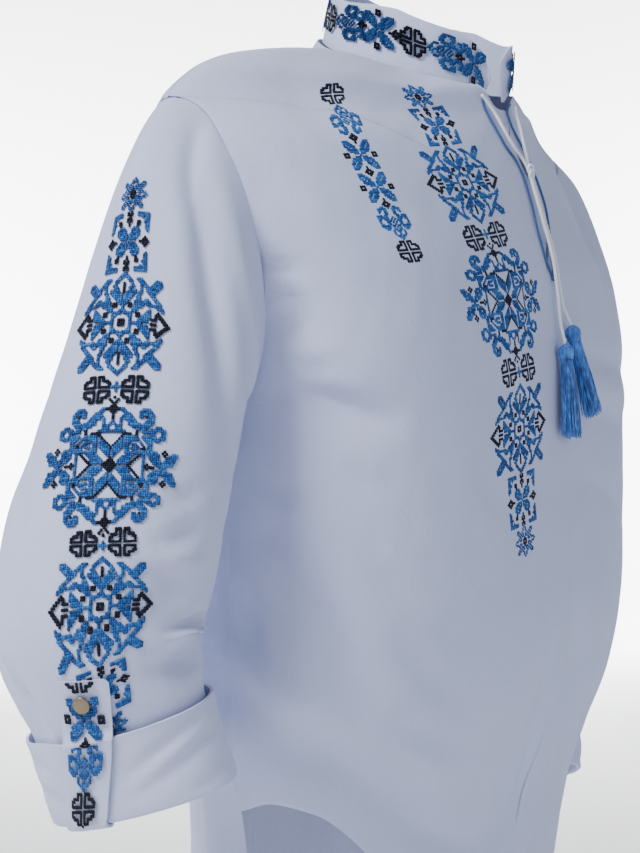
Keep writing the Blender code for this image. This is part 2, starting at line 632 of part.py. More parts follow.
def make_collar(collection, linen):
    ends = np.array([0.0, 0.003, 0.009, 0.02])
    around = np.concatenate([ends, np.linspace(0.045, 0.955, 27), 1 - ends[::-1]])
    around, up = np.meshgrid(around, np.linspace(0, 1, 5))
    cloth_piece("collar", [collar_points(around, up)], COLLAR_CLOTH, linen, collection)


def tube(name, points, radius, finish, collection, resolution=2):
    """A cord as a straight-segment curve with a round bevel."""
    curve = bpy.data.curves.new(name, "CURVE")
    curve.dimensions = "3D"
    curve.bevel_depth = radius
    curve.bevel_resolution = resolution
    curve.use_fill_caps = True
    line = curve.splines.new("POLY")
    line.points.add(len(points) - 1)
    for knot, place in zip(line.points, points):
        knot.co = (*place, 1.0)
    curve.materials.append(finish)
    piece = bpy.data.objects.new(name, curve)
    collection.objects.link(piece)
    return piece


def through(places, count):
    """Points evenly spaced on a smooth curve through a route's own points."""
    places = np.array(places)
    reach = np.concatenate([[0], np.cumsum(np.linalg.norm(np.diff(places, axis=0), axis=1))])
    table = {"reach": reach, "x": places[:, 0], "y": places[:, 1], "z": places[:, 2]}
    fine = np.linspace(0, reach[-1], 400)
    line = np.stack([smooth(table, axis, fine) for axis in "xyz"], axis=-1)
    run = np.concatenate([[0], np.cumsum(np.linalg.norm(np.diff(line, axis=0), axis=1))])
    even = np.linspace(0, run[-1], count)
    return np.stack([np.interp(even, run, line[:, axis]) for axis in range(3)], axis=-1)


def smooth(table, column, at):
    """A column between its rows on a curve with even bends, for a cord's route."""
    knots, values = table["reach"], table[column]
    slopes = np.gradient(values, knots)
    row = np.clip(np.searchsorted(knots, at) - 1, 0, len(knots) - 2)
    span = knots[row + 1] - knots[row]
    t = np.clip((at - knots[row]) / span, 0, 1)
    return (
        values[row] * (1 + 2 * t) * (1 - t) ** 2
        + values[row + 1] * t * t * (3 - 2 * t)
        + span * t * (1 - t) * (slopes[row] * (1 - t) - slopes[row + 1] * t)
    )


def make_binding(collection, blue):
    """One binding strip down the right edge of the slit and up the left."""
    down = np.linspace(NECK_FRONT - 2 * MM, SLIT_FOOT + 3 * MM, 16)
    lift = np.full_like(down, CLOTH + FREE + BINDING_RADIUS)
    right = chest(-piping_edge(RIGHT, down), down, lift)
    left = chest(piping_edge(LEFT, down), down, lift)[::-1]
    turn = np.linspace(-1, 1, 5)
    foot = chest(
        1.4 * MM * np.sin(turn * math.pi / 2),
        SLIT_FOOT + 1.2 * MM - 1.4 * MM * np.cos(turn * math.pi / 2),
        lift[:5],
    )
    tube("slit_binding", np.concatenate([right, foot, left]), BINDING_RADIUS, blue, collection)


# Routes of the tie cords: x, height and lift off the middle of the chest's cloth.
TIES = {
    RIGHT: (
        (-0.0330, -0.0310, 0.0058),
        (-0.0290, -0.0350, 0.0060),
        (-0.0240, -0.0440, 0.0062),
        (-0.0205, -0.0560, 0.0062),
        (-0.0130, -0.0695, 0.0060),
        (-0.0048, -0.0780, 0.0060),
        (-0.0017, -0.0840, 0.0060),
        (-0.0017, -0.0950, 0.0058),
        (-0.0017, -0.1200, 0.0058),
        (-0.0018, -0.1500, 0.0058),
        (-0.0020, -0.1750, 0.0060),
        (-0.0022, -0.1950, 0.0058),
        (-0.0030, -0.2100, 0.0076),
    ),
    LEFT: (
        (0.0140, -0.0345, 0.0058),
        (0.0118, -0.0400, 0.0060),
        (0.0085, -0.0490, 0.0064),
        (0.0060, -0.0580, 0.0064),
        (0.0036, -0.0700, 0.0062),
        (0.0018, -0.0815, 0.0060),
        (0.0017, -0.0950, 0.0058),
        (0.0018, -0.1200, 0.0058),
        (0.0022, -0.1500, 0.0058),
        (0.0034, -0.1700, 0.0058),
        (0.0064, -0.1840, 0.0058),
        (0.0112, -0.1965, 0.0078),
    ),
}
KNOT_HEIGHT = -0.086
KNOT_FLATNESS = 0.60
# Tassels: x, height and lift of the middle of the head, then of the skirt's foot.
TASSELS = {
    RIGHT: ((-0.0035, -0.2165, 0.0082), (-0.0080, -0.2790, 0.0100)),
    LEFT: ((0.0122, -0.2025, 0.0082), (0.0280, -0.2630, 0.0125)),
}
TASSEL_HEAD = 11 * MM


def make_ties(collection, white, blue):
    for side in (RIGHT, LEFT):
        places = chest(*np.array(TIES[side]).T)
        tube(named("tie", side), through(places, 44), TIE_RADIUS, white, collection)
        make_tassel(side, collection, blue)
    place = chest(np.array([0.0]), np.array([KNOT_HEIGHT]), np.array([0.0059]))[0]
    bpy.ops.mesh.primitive_torus_add(
        major_radius=4.9 * MM,
        minor_radius=1.2 * MM,
        major_segments=14,
        minor_segments=8,
        location=place,
        rotation=(0.2, 0, 0),
    )
    knot = bpy.context.object
    knot.name = "tie_knot"
    for vertex in knot.data.vertices:
        vertex.co.y *= KNOT_FLATNESS
    knot.data.materials.append(white)
    for holder in list(knot.users_collection):
        holder.objects.unlink(knot)
    collection.objects.link(knot)


def make_tassel(side, collection, blue):
    """A turned head whose underside is a disc of cells, each drawn down into one strand."""
    head, foot = TASSELS[side]
    head, foot = (chest(*(np.array([value]) for value in place))[0] for place in (head, foot))
    shape = bmesh.new()
    grid = bmesh.ops.create_grid(
        shape, x_segments=TASSEL_GRID, y_segments=TASSEL_GRID, size=0.5
    )
    radius = TASSEL_HEAD_RADIUS * 0.82
    for vertex in grid["verts"]:
        x, y = vertex.co.x * 2, vertex.co.y * 2
        vertex.co.x = x * math.sqrt(1 - y * y / 2) * radius
        vertex.co.y = y * math.sqrt(1 - x * x / 2) * radius
    underside = list(shape.faces)
    rim = [edge for edge in shape.edges if edge.is_boundary]
    rise = TASSEL_HEAD
    # Profile of the head: part of its height and of its radius, after the rim.
    for up, wide in ((0.12, 0.80), (0.24, 0.96), (0.5, 1.0), (0.75, 0.86), (0.92, 0.5), (1.0, 0.2)):
        made = bmesh.ops.extrude_edge_only(shape, edges=rim)["geom"]
        rim = [part for part in made if isinstance(part, bmesh.types.BMEdge)]
        for vertex in {v for edge in rim for v in edge.verts}:
            reach = math.hypot(vertex.co.x, vertex.co.y)
            scale = wide * TASSEL_HEAD_RADIUS / reach
            vertex.co = (vertex.co.x * scale, vertex.co.y * scale, up * rise)
    bmesh.ops.holes_fill(shape, edges=rim)
    bmesh.ops.recalc_face_normals(shape, faces=shape.faces)
    bmesh.ops.inset_individual(shape, faces=underside, thickness=0.16 * MM)
    length = np.linalg.norm(foot - head) - TASSEL_HEAD / 2
    # How far down, and how much wider across the chest and off it than the row above.
    for part, across, off in ((0.45, 1.80, 1.15), (1.0, 1.55, 1.05)):
        drawn = bmesh.ops.extrude_discrete_faces(shape, faces=underside)["faces"]
        for number, face in enumerate(drawn):
            middle = face.calc_center_median()
            shift = Vector((middle.x * (across - 1), middle.y * (off - 1), 0))
            wave = 0.03 * math.sin(5.1 * number) if part == 1.0 else 0.0
            for vertex in face.verts:
                vertex.co += shift
                vertex.co.z = -length * (part + wave)
        underside = drawn
    mesh = bpy.data.meshes.new(named("tassel", side))
    shape.to_mesh(mesh)
    shape.free()
    mesh.materials.append(blue)
    piece = bpy.data.objects.new(named("tassel", side), mesh)
    collection.objects.link(piece)
    axis = Vector(head - foot).normalized()
    across = axis.cross(Vector((0, -1, 0))).normalized()
    turned = Matrix((across, axis.cross(across), axis)).transposed()
    piece.matrix_world = Matrix.LocRotScale(Vector(head) - axis * TASSEL_HEAD / 2, turned, None)


def main():
    for thing in list(bpy.data.objects):
        bpy.data.objects.remove(thing)
    collection = bpy.data.collections.new("embroidered_shirt")
    bpy.context.scene.collection.children.link(collection)
    linen = material("linen", (0.78, 0.80, 0.88), 0.85)
    blue = material("blue_thread", (0.05, 0.22, 0.55), 0.45)
    white = material("white_cord", (0.82, 0.84, 0.90), 0.6)
    metal = material("aged_brass", (0.24, 0.19, 0.13), 0.35, 0.9)
    make_body(collection, linen)
    make_collar(collection, linen)
    for side in (RIGHT, LEFT):
        make_sleeve(side, collection, linen)
        make_cuff(side, collection, linen)
        make_tab(side, collection, linen, metal)
    make_binding(collection, blue)
    make_ties(collection, white, blue)


main()
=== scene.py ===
"""Embroidered linen shirt: the finished look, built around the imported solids.

Every cloth piece is a thin draped shell on the form of its solid, sewn, stitched and
embroidered thread by thread. Metres, +Z up; the shirt faces -Y and its right side is -X.
Run it as a script in Blender 4.5.
"""

import math

import bmesh
import bpy
import numpy as np
from bpy.props import FloatProperty, FloatVectorProperty, PointerProperty
from mathutils import Matrix, Vector


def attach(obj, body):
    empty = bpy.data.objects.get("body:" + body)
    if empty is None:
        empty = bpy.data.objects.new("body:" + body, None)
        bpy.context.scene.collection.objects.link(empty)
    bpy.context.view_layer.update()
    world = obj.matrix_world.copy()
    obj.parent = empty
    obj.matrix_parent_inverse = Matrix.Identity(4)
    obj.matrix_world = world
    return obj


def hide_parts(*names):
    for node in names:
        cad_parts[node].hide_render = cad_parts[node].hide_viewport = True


bl_info = {
    "name": "Embroidered shirt",
    "version": (1, 0, 0),
    "blender": (4, 5, 0),
    "location": "3D View > Sidebar > Shirt",
    "description": "Builds a worn linen shirt with cross-stitched panels, tie cords and tassels",
    "category": "Object",
}

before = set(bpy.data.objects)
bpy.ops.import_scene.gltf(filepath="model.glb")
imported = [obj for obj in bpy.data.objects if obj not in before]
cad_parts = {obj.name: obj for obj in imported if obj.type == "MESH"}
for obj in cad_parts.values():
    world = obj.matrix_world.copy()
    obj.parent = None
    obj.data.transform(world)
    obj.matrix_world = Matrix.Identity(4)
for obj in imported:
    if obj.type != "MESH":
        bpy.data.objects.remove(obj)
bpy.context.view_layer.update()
BODY_NAME = "root"

MM = 0.001
RIGHT, LEFT = -1, 1  # the wearer's sides, as signs of X

# The solids' own sizes, which every piece here follows.
CLOTH = 1.6 * MM
CUFF_CLOTH = 2.4 * MM
TAB_CLOTH = 2.0 * MM
COLLAR_CLOTH = 2.2 * MM
FREE = 0.35 * MM  # air between pieces that lie on each other

# Cross sections of the body, from above the neck to the hem. The middle is the y of the side
# line, front and back are depths from it, and a squareness of 2 is an ellipse.
BODY = {
    "height": (0.040, 0.020, 0.000, -0.004, -0.010, -0.018, -0.030, -0.050, -0.080, -0.120,
               -0.170, -0.220, -0.270, -0.330, -0.390, -0.450, -0.500, -0.550, -0.620, -0.700),
    "half_width": (0.052, 0.062, 0.073, 0.128, 0.176, 0.212, 0.236, 0.254, 0.264, 0.258,
                   0.243, 0.231, 0.225, 0.226, 0.230, 0.232, 0.222, 0.208, 0.200, 0.198),
    "middle": (0.006, 0.003, 0.000, 0.010, 0.022, 0.034, 0.044, 0.052, 0.050, 0.047,
               0.044, 0.036, 0.028, 0.022, 0.020, 0.020, 0.020, 0.020, 0.020, 0.020),
    "front": (0.010, 0.016, 0.026, 0.042, 0.065, 0.090, 0.114, 0.125, 0.134, 0.145,
              0.155, 0.153, 0.149, 0.147, 0.147, 0.139, 0.124, 0.106, 0.095, 0.088),
    "back": (0.056, 0.072, 0.087, 0.084, 0.078, 0.072, 0.069, 0.073, 0.083, 0.094,
             0.101, 0.104, 0.105, 0.104, 0.104, 0.108, 0.113, 0.118, 0.124, 0.128),
    "squareness": (2.0, 2.0, 2.0, 1.7, 1.5, 1.45, 1.45, 1.6, 2.1, 2.45,
                   2.9, 3.2, 2.9, 2.6, 2.4, 2.2, 2.0, 2.0, 2.0, 2.0),
}

NECK_RADIUS = 72 * MM
SHOULDER_TIP = -0.050  # height of the outer end of the shoulder seam
ARMPIT = -0.256
ARMHOLE_HALF = 0.056  # half its width, front to back
SLIT_FOOT = -0.164

# Sections of the sleeves at right angles to the arm, from just under the armhole to the fold
# of the cuff: centre, radius outwards from the body and radius front to back.
SLEEVE_RIGHT = {
    "along": (0.0, 0.19, 0.39, 0.57, 0.71, 0.80, 1.0),
    "x": (-0.286, -0.303, -0.322, -0.331, -0.3255, -0.3195, -0.3085),
    "y": (0.047, 0.050, 0.053, 0.056, 0.0510, 0.0470, 0.0350),
    "z": (-0.250, -0.297, -0.350, -0.398, -0.4350, -0.4575, -0.5100),
    "wide": (0.053, 0.058, 0.060, 0.058, 0.052, 0.048, 0.045),
    "deep": (0.068, 0.071, 0.074, 0.073, 0.067, 0.061, 0.065),
}
SLEEVE_LEFT = {
    "along": (0.0, 0.19, 0.39, 0.57, 0.71, 0.80, 1.0),
    "x": (0.289, 0.303, 0.315, 0.319, 0.313, 0.305, 0.285),
    "y": (0.046, 0.054, 0.062, 0.068, 0.069, 0.066, 0.053),
    "z": (-0.250, -0.303, -0.365, -0.424, -0.470, -0.500, -0.568),
    "wide": (0.053, 0.058, 0.060, 0.058, 0.052, 0.048, 0.045),
    "deep": (0.068, 0.071, 0.073, 0.071, 0.065, 0.057, 0.056),
}

SLEEVES = {RIGHT: SLEEVE_RIGHT, LEFT: SLEEVE_LEFT}

CUFF_HEIGHT = 57 * MM
CUFF_GIRTH = 0.335
CUFF_STAND = (2.9 * MM, 6.0 * MM)  # lift of its inside off the sleeve, at its fold and its edge
CUFF_DROP = 1.5 * MM  # how far the fold hangs below the sleeve's own wall
TAB_WIDTH = 29 * MM
TAB_ABOVE_CUFF = 37 * MM
SNAP_RADIUS = 5.8 * MM
SNAP_HEIGHT = 2.2 * MM
SNAP_FROM_END = 14 * MM
COLLAR_HEIGHT = 38.5 * MM
COLLAR_CORNERS = ((34 * MM, 27 * MM), (9 * MM, 9 * MM))  # length and height, right and left
COLLAR_ENDS = (20.0 * MM, 13.5 * MM)  # from the centre, right and left
COLLAR_END_RISE = (4.2 * MM, 6.0 * MM)
COLLAR_END_RUN = 50 * MM  # how far from its ends they lift and bend
COLLAR_LEAN = (1 * MM, 9 * MM)  # inwards over its height, at the front and at the back
BINDING_RADIUS = 0.9 * MM
TIE_RADIUS = 1.4 * MM
TASSEL_HEAD_RADIUS = 5.6 * MM

# Numbers of cells of the drawn cloth
FRONT_COLUMNS = 72  # from the centre to the side
BACK_COLUMNS = 56
COLUMN_CROWD = 1.15  # above 1, the columns crowd towards the centre
EDGE_LEAD = 1.6  # above 1, a row reaches its edge's height before the edge
SIDE_ROWS, ARMHOLE_ROWS, SHOULDER_ROWS = 78, 54, 24
SLIT_ROWS = 24  # rows of the back beside the open side slit
SLEEVE_COLUMNS, SLEEVE_ROWS = 128, 124

SHELL = 1.1 * MM  # drawn wall of one cloth layer
SHELL_INSIDE = 0.35 * MM  # lift of its inner face off the solid's
OUTER = SHELL + SHELL_INSIDE  # lift of its outer face
ARMPIT_STAND = 1.2 * MM  # how far the sleeve stands out from the body at the armpit
SEAM = 0.3 * MM  # gap left at a seam line


def unit(directions):
    """Directions made one unit long."""
    return directions / np.linalg.norm(directions, axis=-1, keepdims=True)


def curve_through(knots, values, slopes, at):
    """Values at places on a curve with given slopes at its knots."""
    row = np.clip(np.searchsorted(knots, at) - 1, 0, len(knots) - 2)
    span = knots[row + 1] - knots[row]
    t = np.clip((at - knots[row]) / span, 0, 1)
    return (
        values[row] * (1 + 2 * t) * (1 - t) ** 2
        + values[row + 1] * t * t * (3 - 2 * t)
        + span * t * (1 - t) * (slopes[row] * (1 - t) - slopes[row + 1] * t)
    )


def between(table, key, column, at):
    """A column of a table between its rows, on a smooth curve that never overshoots."""
    knots = np.array(table[key])
    values = np.array(table[column])
    if knots[0] > knots[-1]:
        knots, values = knots[::-1], values[::-1]
    rise = np.diff(values) / np.diff(knots)
    product = rise[:-1] * rise[1:]
    total = np.where(product > 0, rise[:-1] + rise[1:], 1.0)
    inner = np.where(product > 0, 2 * product / total, 0.0)
    return curve_through(knots, values, np.concatenate([rise[:1], inner, rise[-1:]]), at)


def place_in(table, key, at):
    """The x, y and z columns of a table between its rows."""
    return np.stack([between(table, key, axis, at) for axis in "xyz"], axis=-1)


def body(turn, z):
    """Body point for a turn of 0 at the centre front, 1 at the side and 2 at the back."""
    angle = turn * math.pi / 2
    power = 2 / between(BODY, "height", "squareness", z)
    forward = np.cos(angle)
    depth = np.where(
        forward > 0,
        between(BODY, "height", "front", z),
        between(BODY, "height", "back", z),
    )
    x = between(BODY, "height", "half_width", z)
    x = x * np.sign(np.sin(angle)) * np.abs(np.sin(angle)) ** power
    y = between(BODY, "height", "middle", z) - depth * np.sign(forward) * np.abs(forward) ** power
    return np.stack([x, y, z + 0 * x], axis=-1)


def turn_at(y, z):
    """The turn at which the body's section at a height passes this y."""
    middle = between(BODY, "height", "middle", z)
    front = y < middle
    depth = np.where(
        front, between(BODY, "height", "front", z), between(BODY, "height", "back", z)
    )
    power = between(BODY, "height", "squareness", z) / 2
    ahead = np.clip(np.abs(middle - y) / depth, 0, 1) ** power
    turn = np.arccos(ahead) * 2 / math.pi
    return np.where(front, turn, 2 - turn)


def neckline(part):
    """Turn and height of the neck seam, for a part of 0 in front, 1 at the side, 2 behind."""
    angle = np.abs(part) * math.pi / 2
    x, y = NECK_RADIUS * np.sin(angle), -NECK_RADIUS * np.cos(angle)
    low, high = np.full_like(x, -0.05), np.full_like(x, 0.04)
    for _ in range(30):
        z = (low + high) / 2
        outside = body(turn_at(y, z), z)[..., 0] > x
        low, high = np.where(outside, z, low), np.where(outside, high, z)
    return turn_at(y, z) * np.sign(part), z


def armhole(around):
    """Turn and height of the armhole: 0 at the shoulder, 0.25 in front, 0.5 at the armpit."""
    angle = around * 2 * math.pi
    z = (SHOULDER_TIP + ARMPIT) / 2 + (SHOULDER_TIP - ARMPIT) / 2 * np.cos(angle)
    y = between(BODY, "height", "middle", z) - ARMHOLE_HALF * np.sin(angle)
    return turn_at(y, z), z


def outward(surface, a, b, step=1e-4):
    """Unit normals of a surface of two values, by its slopes along them."""
    across = surface(a + step, b) - surface(a - step, b)
    up = surface(a, b + step) - surface(a, b - step)
    return unit(np.cross(across, up))


def folds(table, side, a, b, scale):
    """Height of the soft folds of a table at places (a, b), measured with a scale in metres."""
    height = np.zeros(np.broadcast(a, b).shape)
    for row in table:
        wearer_side, a0, b0, a1, b1, bow, width, rise = row
        if wearer_side not in (side, 0):
            continue
        run = np.array([(a1 - a0) * scale[0], (b1 - b0) * scale[1]])
        length = np.linalg.norm(run)
        run = run / length
        far_a, far_b = (a - a0) * scale[0], (b - b0) * scale[1]
        along = np.clip((far_a * run[0] + far_b * run[1]) / length, 0, 1)
        past = np.abs((far_a * run[0] + far_b * run[1]) - along * length)
        off = far_b * run[0] - far_a * run[1] - bow * 4 * along * (1 - along)
        taper = np.sin(math.pi * np.clip(0.12 + 0.76 * along, 0, 1))
        height = height + rise * taper * np.exp(-(off * off + past * past) / width**2)
    return height


# Each fold runs from (a0, b0) to (a1, b1) on the wearer's right (-1), left (1) or both (0), bows
# to one side, and is a trough where its rise is negative.
# Columns: side, a0, b0, a1, b1, bow, width, rise.
# Largest folds of the body, from one turn and height to another.
BODY_FOLDS = (
    (-1, 0.99, -0.330, 0.62, -0.452, -0.006, 0.021, -0.010),
    (-1, 0.97, -0.420, 0.72, -0.470, 0.000, 0.017, 0.006),
    (-1, 1.05, -0.445, 0.38, -0.550, -0.008, 0.021, -0.010),
    (-1, 0.87, -0.245, 0.55, -0.268, 0.004, 0.017, -0.005),
    (-1, 0.86, -0.155, 0.76, -0.205, 0.000, 0.015, -0.005),
    (1, 0.34, -0.060, 0.27, -0.150, -0.010, 0.024, -0.009),
    (1, 0.80, -0.235, 0.42, -0.228, 0.005, 0.018, -0.005),
    (1, 0.05, -0.420, 0.20, -0.560, 0.006, 0.016, -0.006),
    (1, 0.97, -0.345, 0.60, -0.425, -0.006, 0.020, -0.009),
    (1, 1.02, -0.430, 0.50, -0.520, -0.008, 0.020, -0.009),
    (-1, 1.22, -0.290, 1.30, -0.600, 0.012, 0.022, -0.009),
    (1, 1.18, -0.320, 1.34, -0.620, -0.010, 0.022, -0.009),
    (-1, 1.62, -0.260, 1.55, -0.640, 0.010, 0.024, -0.010),
    (1, 1.70, -0.300, 1.62, -0.650, -0.012, 0.024, -0.009),
    (-1, 1.30, -0.110, 1.45, -0.230, 0.006, 0.020, -0.006),
    (1, 1.32, -0.120, 1.50, -0.210, 0.006, 0.020, -0.006),
)
BODY_SCALE = (0.36, 1.0)  # metres in one turn and in one unit of height, for the folds


# How the cloth round the neck rises, against the angle round it from the front.
NECK_RISE = {
    "angle": (0.0, 15.0, 30.0, 45.0, 60.0, 75.0, 90.0, 105.0, 120.0, 150.0, 180.0),
    "rise": (
        0.0090, 0.0080, 0.0035, 0.0, -0.0054, -0.0090, -0.0062, -0.0010, 0.0014, 0.0, 0.0,
    ),
}
NECK_SPREAD = 42 * MM


def neck_rise(points):
    """Rise of the cloth at places near the neck."""
    angle = np.degrees(np.abs(np.arctan2(points[..., 0], -points[..., 1])))
    away = np.hypot(points[..., 0], points[..., 1]) - NECK_RADIUS
    return between(NECK_RISE, "angle", "rise", angle) * np.exp(-((away / NECK_SPREAD) ** 2))


# How much deeper the creases are drawn than their tables say, on the body and on the sleeves.
BODY_DEPTH, SLEEVE_DEPTH = 1.25, 1.6
# Small creases between the body's large folds, in the columns of BODY_FOLDS.
BODY_CREASES = (
    (-1, 0.850, -0.163, 0.750, -0.167, 0.001, 0.0065, -0.0036),
    (-1, 0.860, -0.170, 0.755, -0.177, 0.001, 0.0060, 0.0020),
    (-1, 0.865, -0.178, 0.760, -0.188, 0.001, 0.0070, -0.0036),
    (-1, 0.875, -0.194, 0.765, -0.200, 0.002, 0.0070, -0.0034),
    (-1, 0.860, -0.201, 0.805, -0.212, 0.000, 0.0075, -0.0055),
    (-1, 0.830, -0.215, 0.735, -0.222, 0.002, 0.0085, 0.0020),
    (-1, 0.855, -0.225, 0.745, -0.235, 0.001, 0.0080, -0.0026),
    (-1, 0.860, -0.236, 0.610, -0.251, -0.003, 0.0100, 0.0024),
    (-1, 0.875, -0.247, 0.565, -0.265, -0.003, 0.0095, -0.0036),
    (-1, 0.665, -0.018, 0.530, -0.070, 0.003, 0.0120, -0.0022),
    (-1, 0.800, -0.090, 0.700, -0.120, 0.000, 0.0110, -0.0018),
    (-1, 0.965, -0.300, 0.835, -0.320, 0.002, 0.0090, -0.0028),
    (-1, 0.755, -0.300, 0.540, -0.312, 0.003, 0.0120, -0.0016),
    (-1, 0.660, -0.357, 0.455, -0.388, 0.003, 0.0110, -0.0022),
    (-1, 0.900, -0.352, 0.790, -0.372, 0.000, 0.0085, 0.0022),
    (-1, 0.730, -0.412, 0.570, -0.445, 0.003, 0.0090, -0.0028),
    (-1, 0.535, -0.412, 0.340, -0.458, 0.003, 0.0110, -0.0022),
    (-1, 0.975, -0.385, 0.915, -0.420, 0.002, 0.0080, -0.0034),
    (-1, 0.900, -0.440, 0.760, -0.492, 0.003, 0.0090, 0.0026),
    (-1, 0.555, -0.480, 0.335, -0.507, 0.002, 0.0110, 0.0026),
    (-1, 0.390, -0.548, 0.155, -0.570, 0.003, 0.0100, -0.0034),
    (-1, 0.300, -0.300, 0.190, -0.330, 0.002, 0.0110, -0.0012),
    (-1, 0.050, -0.430, 0.020, -0.560, 0.002, 0.0085, -0.0036),
    (-1, 0.115, -0.470, 0.100, -0.600, 0.003, 0.0100, -0.0026),
    (-1, 0.080, -0.580, 0.060, -0.630, 0.001, 0.0080, 0.0018),
    (1, 0.030, -0.425, 0.050, -0.545, 0.002, 0.0085, -0.0040),
    (1, 0.095, -0.440, 0.130, -0.570, -0.002, 0.0090, -0.0032),
    (1, 0.020, -0.222, 0.420, -0.229, 0.004, 0.0100, -0.0030),
    (1, 0.050, -0.240, 0.350, -0.252, 0.003, 0.0110, 0.0016),
    (1, 0.035, -0.262, 0.390, -0.272, 0.004, 0.0110, -0.0022),
    (1, 0.030, -0.310, 0.335, -0.343, 0.004, 0.0120, -0.0022),
    (1, 0.175, -0.430, 0.400, -0.525, 0.005, 0.0120, -0.0026),
    (1, 0.480, -0.095, 0.430, -0.165, -0.004, 0.0120, -0.0026),
    (1, 0.860, -0.165, 0.750, -0.172, 0.001, 0.0070, -0.0034),
    (1, 0.870, -0.185, 0.760, -0.195, 0.001, 0.0070, -0.0034),
    (1, 0.860, -0.208, 0.780, -0.222, 0.001, 0.0080, -0.0040),
    (1, 0.960, -0.310, 0.820, -0.330, 0.002, 0.0090, -0.0028),
    (1, 0.720, -0.400, 0.560, -0.430, 0.003, 0.0090, -0.0028),
    (1, 0.900, -0.455, 0.740, -0.500, 0.003, 0.0090, 0.0026),
    (-1, 1.150, -0.165, 1.260, -0.172, 0.001, 0.0070, -0.0034),
    (-1, 1.140, -0.188, 1.270, -0.202, 0.001, 0.0070, -0.0034),
    (-1, 1.060, -0.290, 1.200, -0.345, 0.003, 0.0090, -0.0030),
    (-1, 1.050, -0.380, 1.240, -0.450, 0.003, 0.0100, -0.0030),
    (-1, 1.400, -0.340, 1.560, -0.380, 0.003, 0.0110, -0.0022),
    (-1, 1.760, -0.120, 1.900, -0.126, 0.003, 0.0120, -0.0018),
    (-1, 1.420, -0.470, 1.380, -0.620, 0.003, 0.0100, -0.0030),
    (-1, 1.800, -0.420, 1.760, -0.600, 0.004, 0.0120, -0.0026),
    (1, 1.150, -0.160, 1.260, -0.170, 0.001, 0.0070, -0.0034),
    (1, 1.140, -0.184, 1.280, -0.196, 0.001, 0.0070, -0.0030),
    (1, 1.060, -0.300, 1.180, -0.350, 0.003, 0.0090, -0.0030),
    (1, 1.050, -0.400, 1.260, -0.480, 0.003, 0.0100, -0.0030),
    (1, 1.480, -0.300, 1.620, -0.350, 0.003, 0.0110, -0.0022),
    (1, 1.440, -0.460, 1.500, -0.640, 0.003, 0.0100, -0.0030),
    (1, 1.880, -0.380, 1.860, -0.560, 0.004, 0.0120, -0.0026),
)
# Small creases of the sleeves, in parts of the way round and along them, in the same columns.
SLEEVE_CREASES = (
    (-1, 0.158, 0.615, 0.225, 0.580, 0.001, 0.0060, -0.0024),
    (-1, 0.146, 0.650, 0.229, 0.665, 0.001, 0.0065, -0.0028),
    (-1, 0.150, 0.635, 0.235, 0.625, 0.000, 0.0060, 0.0018),
    (-1, 0.200, 0.730, 0.320, 0.695, 0.001, 0.0070, -0.0046),
    (-1, 0.190, 0.758, 0.310, 0.742, 0.000, 0.0070, 0.0026),
    (-1, 0.167, 0.800, 0.283, 0.800, 0.001, 0.0065, -0.0030),
    (-1, 0.154, 0.565, 0.217, 0.530, 0.001, 0.0060, -0.0016),
    (-1, 0.017, 0.672, 0.071, 0.660, 0.000, 0.0060, -0.0007),
    (-1, -0.100, 0.765, -0.079, 0.850, 0.000, 0.0060, -0.0034),
    (-1, -0.075, 0.775, -0.062, 0.860, 0.000, 0.0050, -0.0030),
    (-1, -0.150, 0.700, -0.120, 0.800, 0.002, 0.0070, -0.0030),
    (-1, -0.112, 0.560, -0.050, 0.650, 0.002, 0.0080, -0.0014),
    (-1, 0.330, 0.560, 0.440, 0.600, 0.003, 0.0070, -0.0030),
    (-1, 0.350, 0.480, 0.500, 0.500, 0.003, 0.0080, -0.0034),
    (-1, 0.380, 0.700, 0.520, 0.730, 0.003, 0.0070, -0.0036),
    (-1, -0.300, 0.540, -0.200, 0.600, 0.003, 0.0080, -0.0030),
    (-1, -0.350, 0.760, -0.230, 0.790, 0.003, 0.0070, -0.0034),
    (-1, -0.100, 0.040, -0.140, 0.180, 0.003, 0.0100, -0.0026),
    (-1, 0.085, 0.020, 0.110, 0.150, 0.002, 0.0090, -0.0022),
    (1, 0.150, 0.620, 0.225, 0.590, 0.001, 0.0065, -0.0026),
    (1, 0.140, 0.665, 0.235, 0.680, 0.001, 0.0065, -0.0028),
    (1, 0.190, 0.745, 0.310, 0.715, 0.001, 0.0070, -0.0040),
    (1, 0.160, 0.815, 0.280, 0.812, 0.001, 0.0065, -0.0030),
    (1, -0.100, 0.780, -0.075, 0.860, 0.000, 0.0060, -0.0034),
    (1, 0.330, 0.540, 0.450, 0.590, 0.003, 0.0070, -0.0030),
    (1, 0.360, 0.690, 0.500, 0.720, 0.003, 0.0070, -0.0034),
    (1, -0.310, 0.530, -0.200, 0.590, 0.003, 0.0080, -0.0030),
    (1, -0.340, 0.720, -0.220, 0.760, 0.003, 0.0070, -0.0034),
    (1, 0.070, 0.020, 0.110, 0.160, 0.002, 0.0090, -0.0024),
    (1, -0.090, 0.040, -0.140, 0.180, 0.003, 0.0100, -0.0026),
)
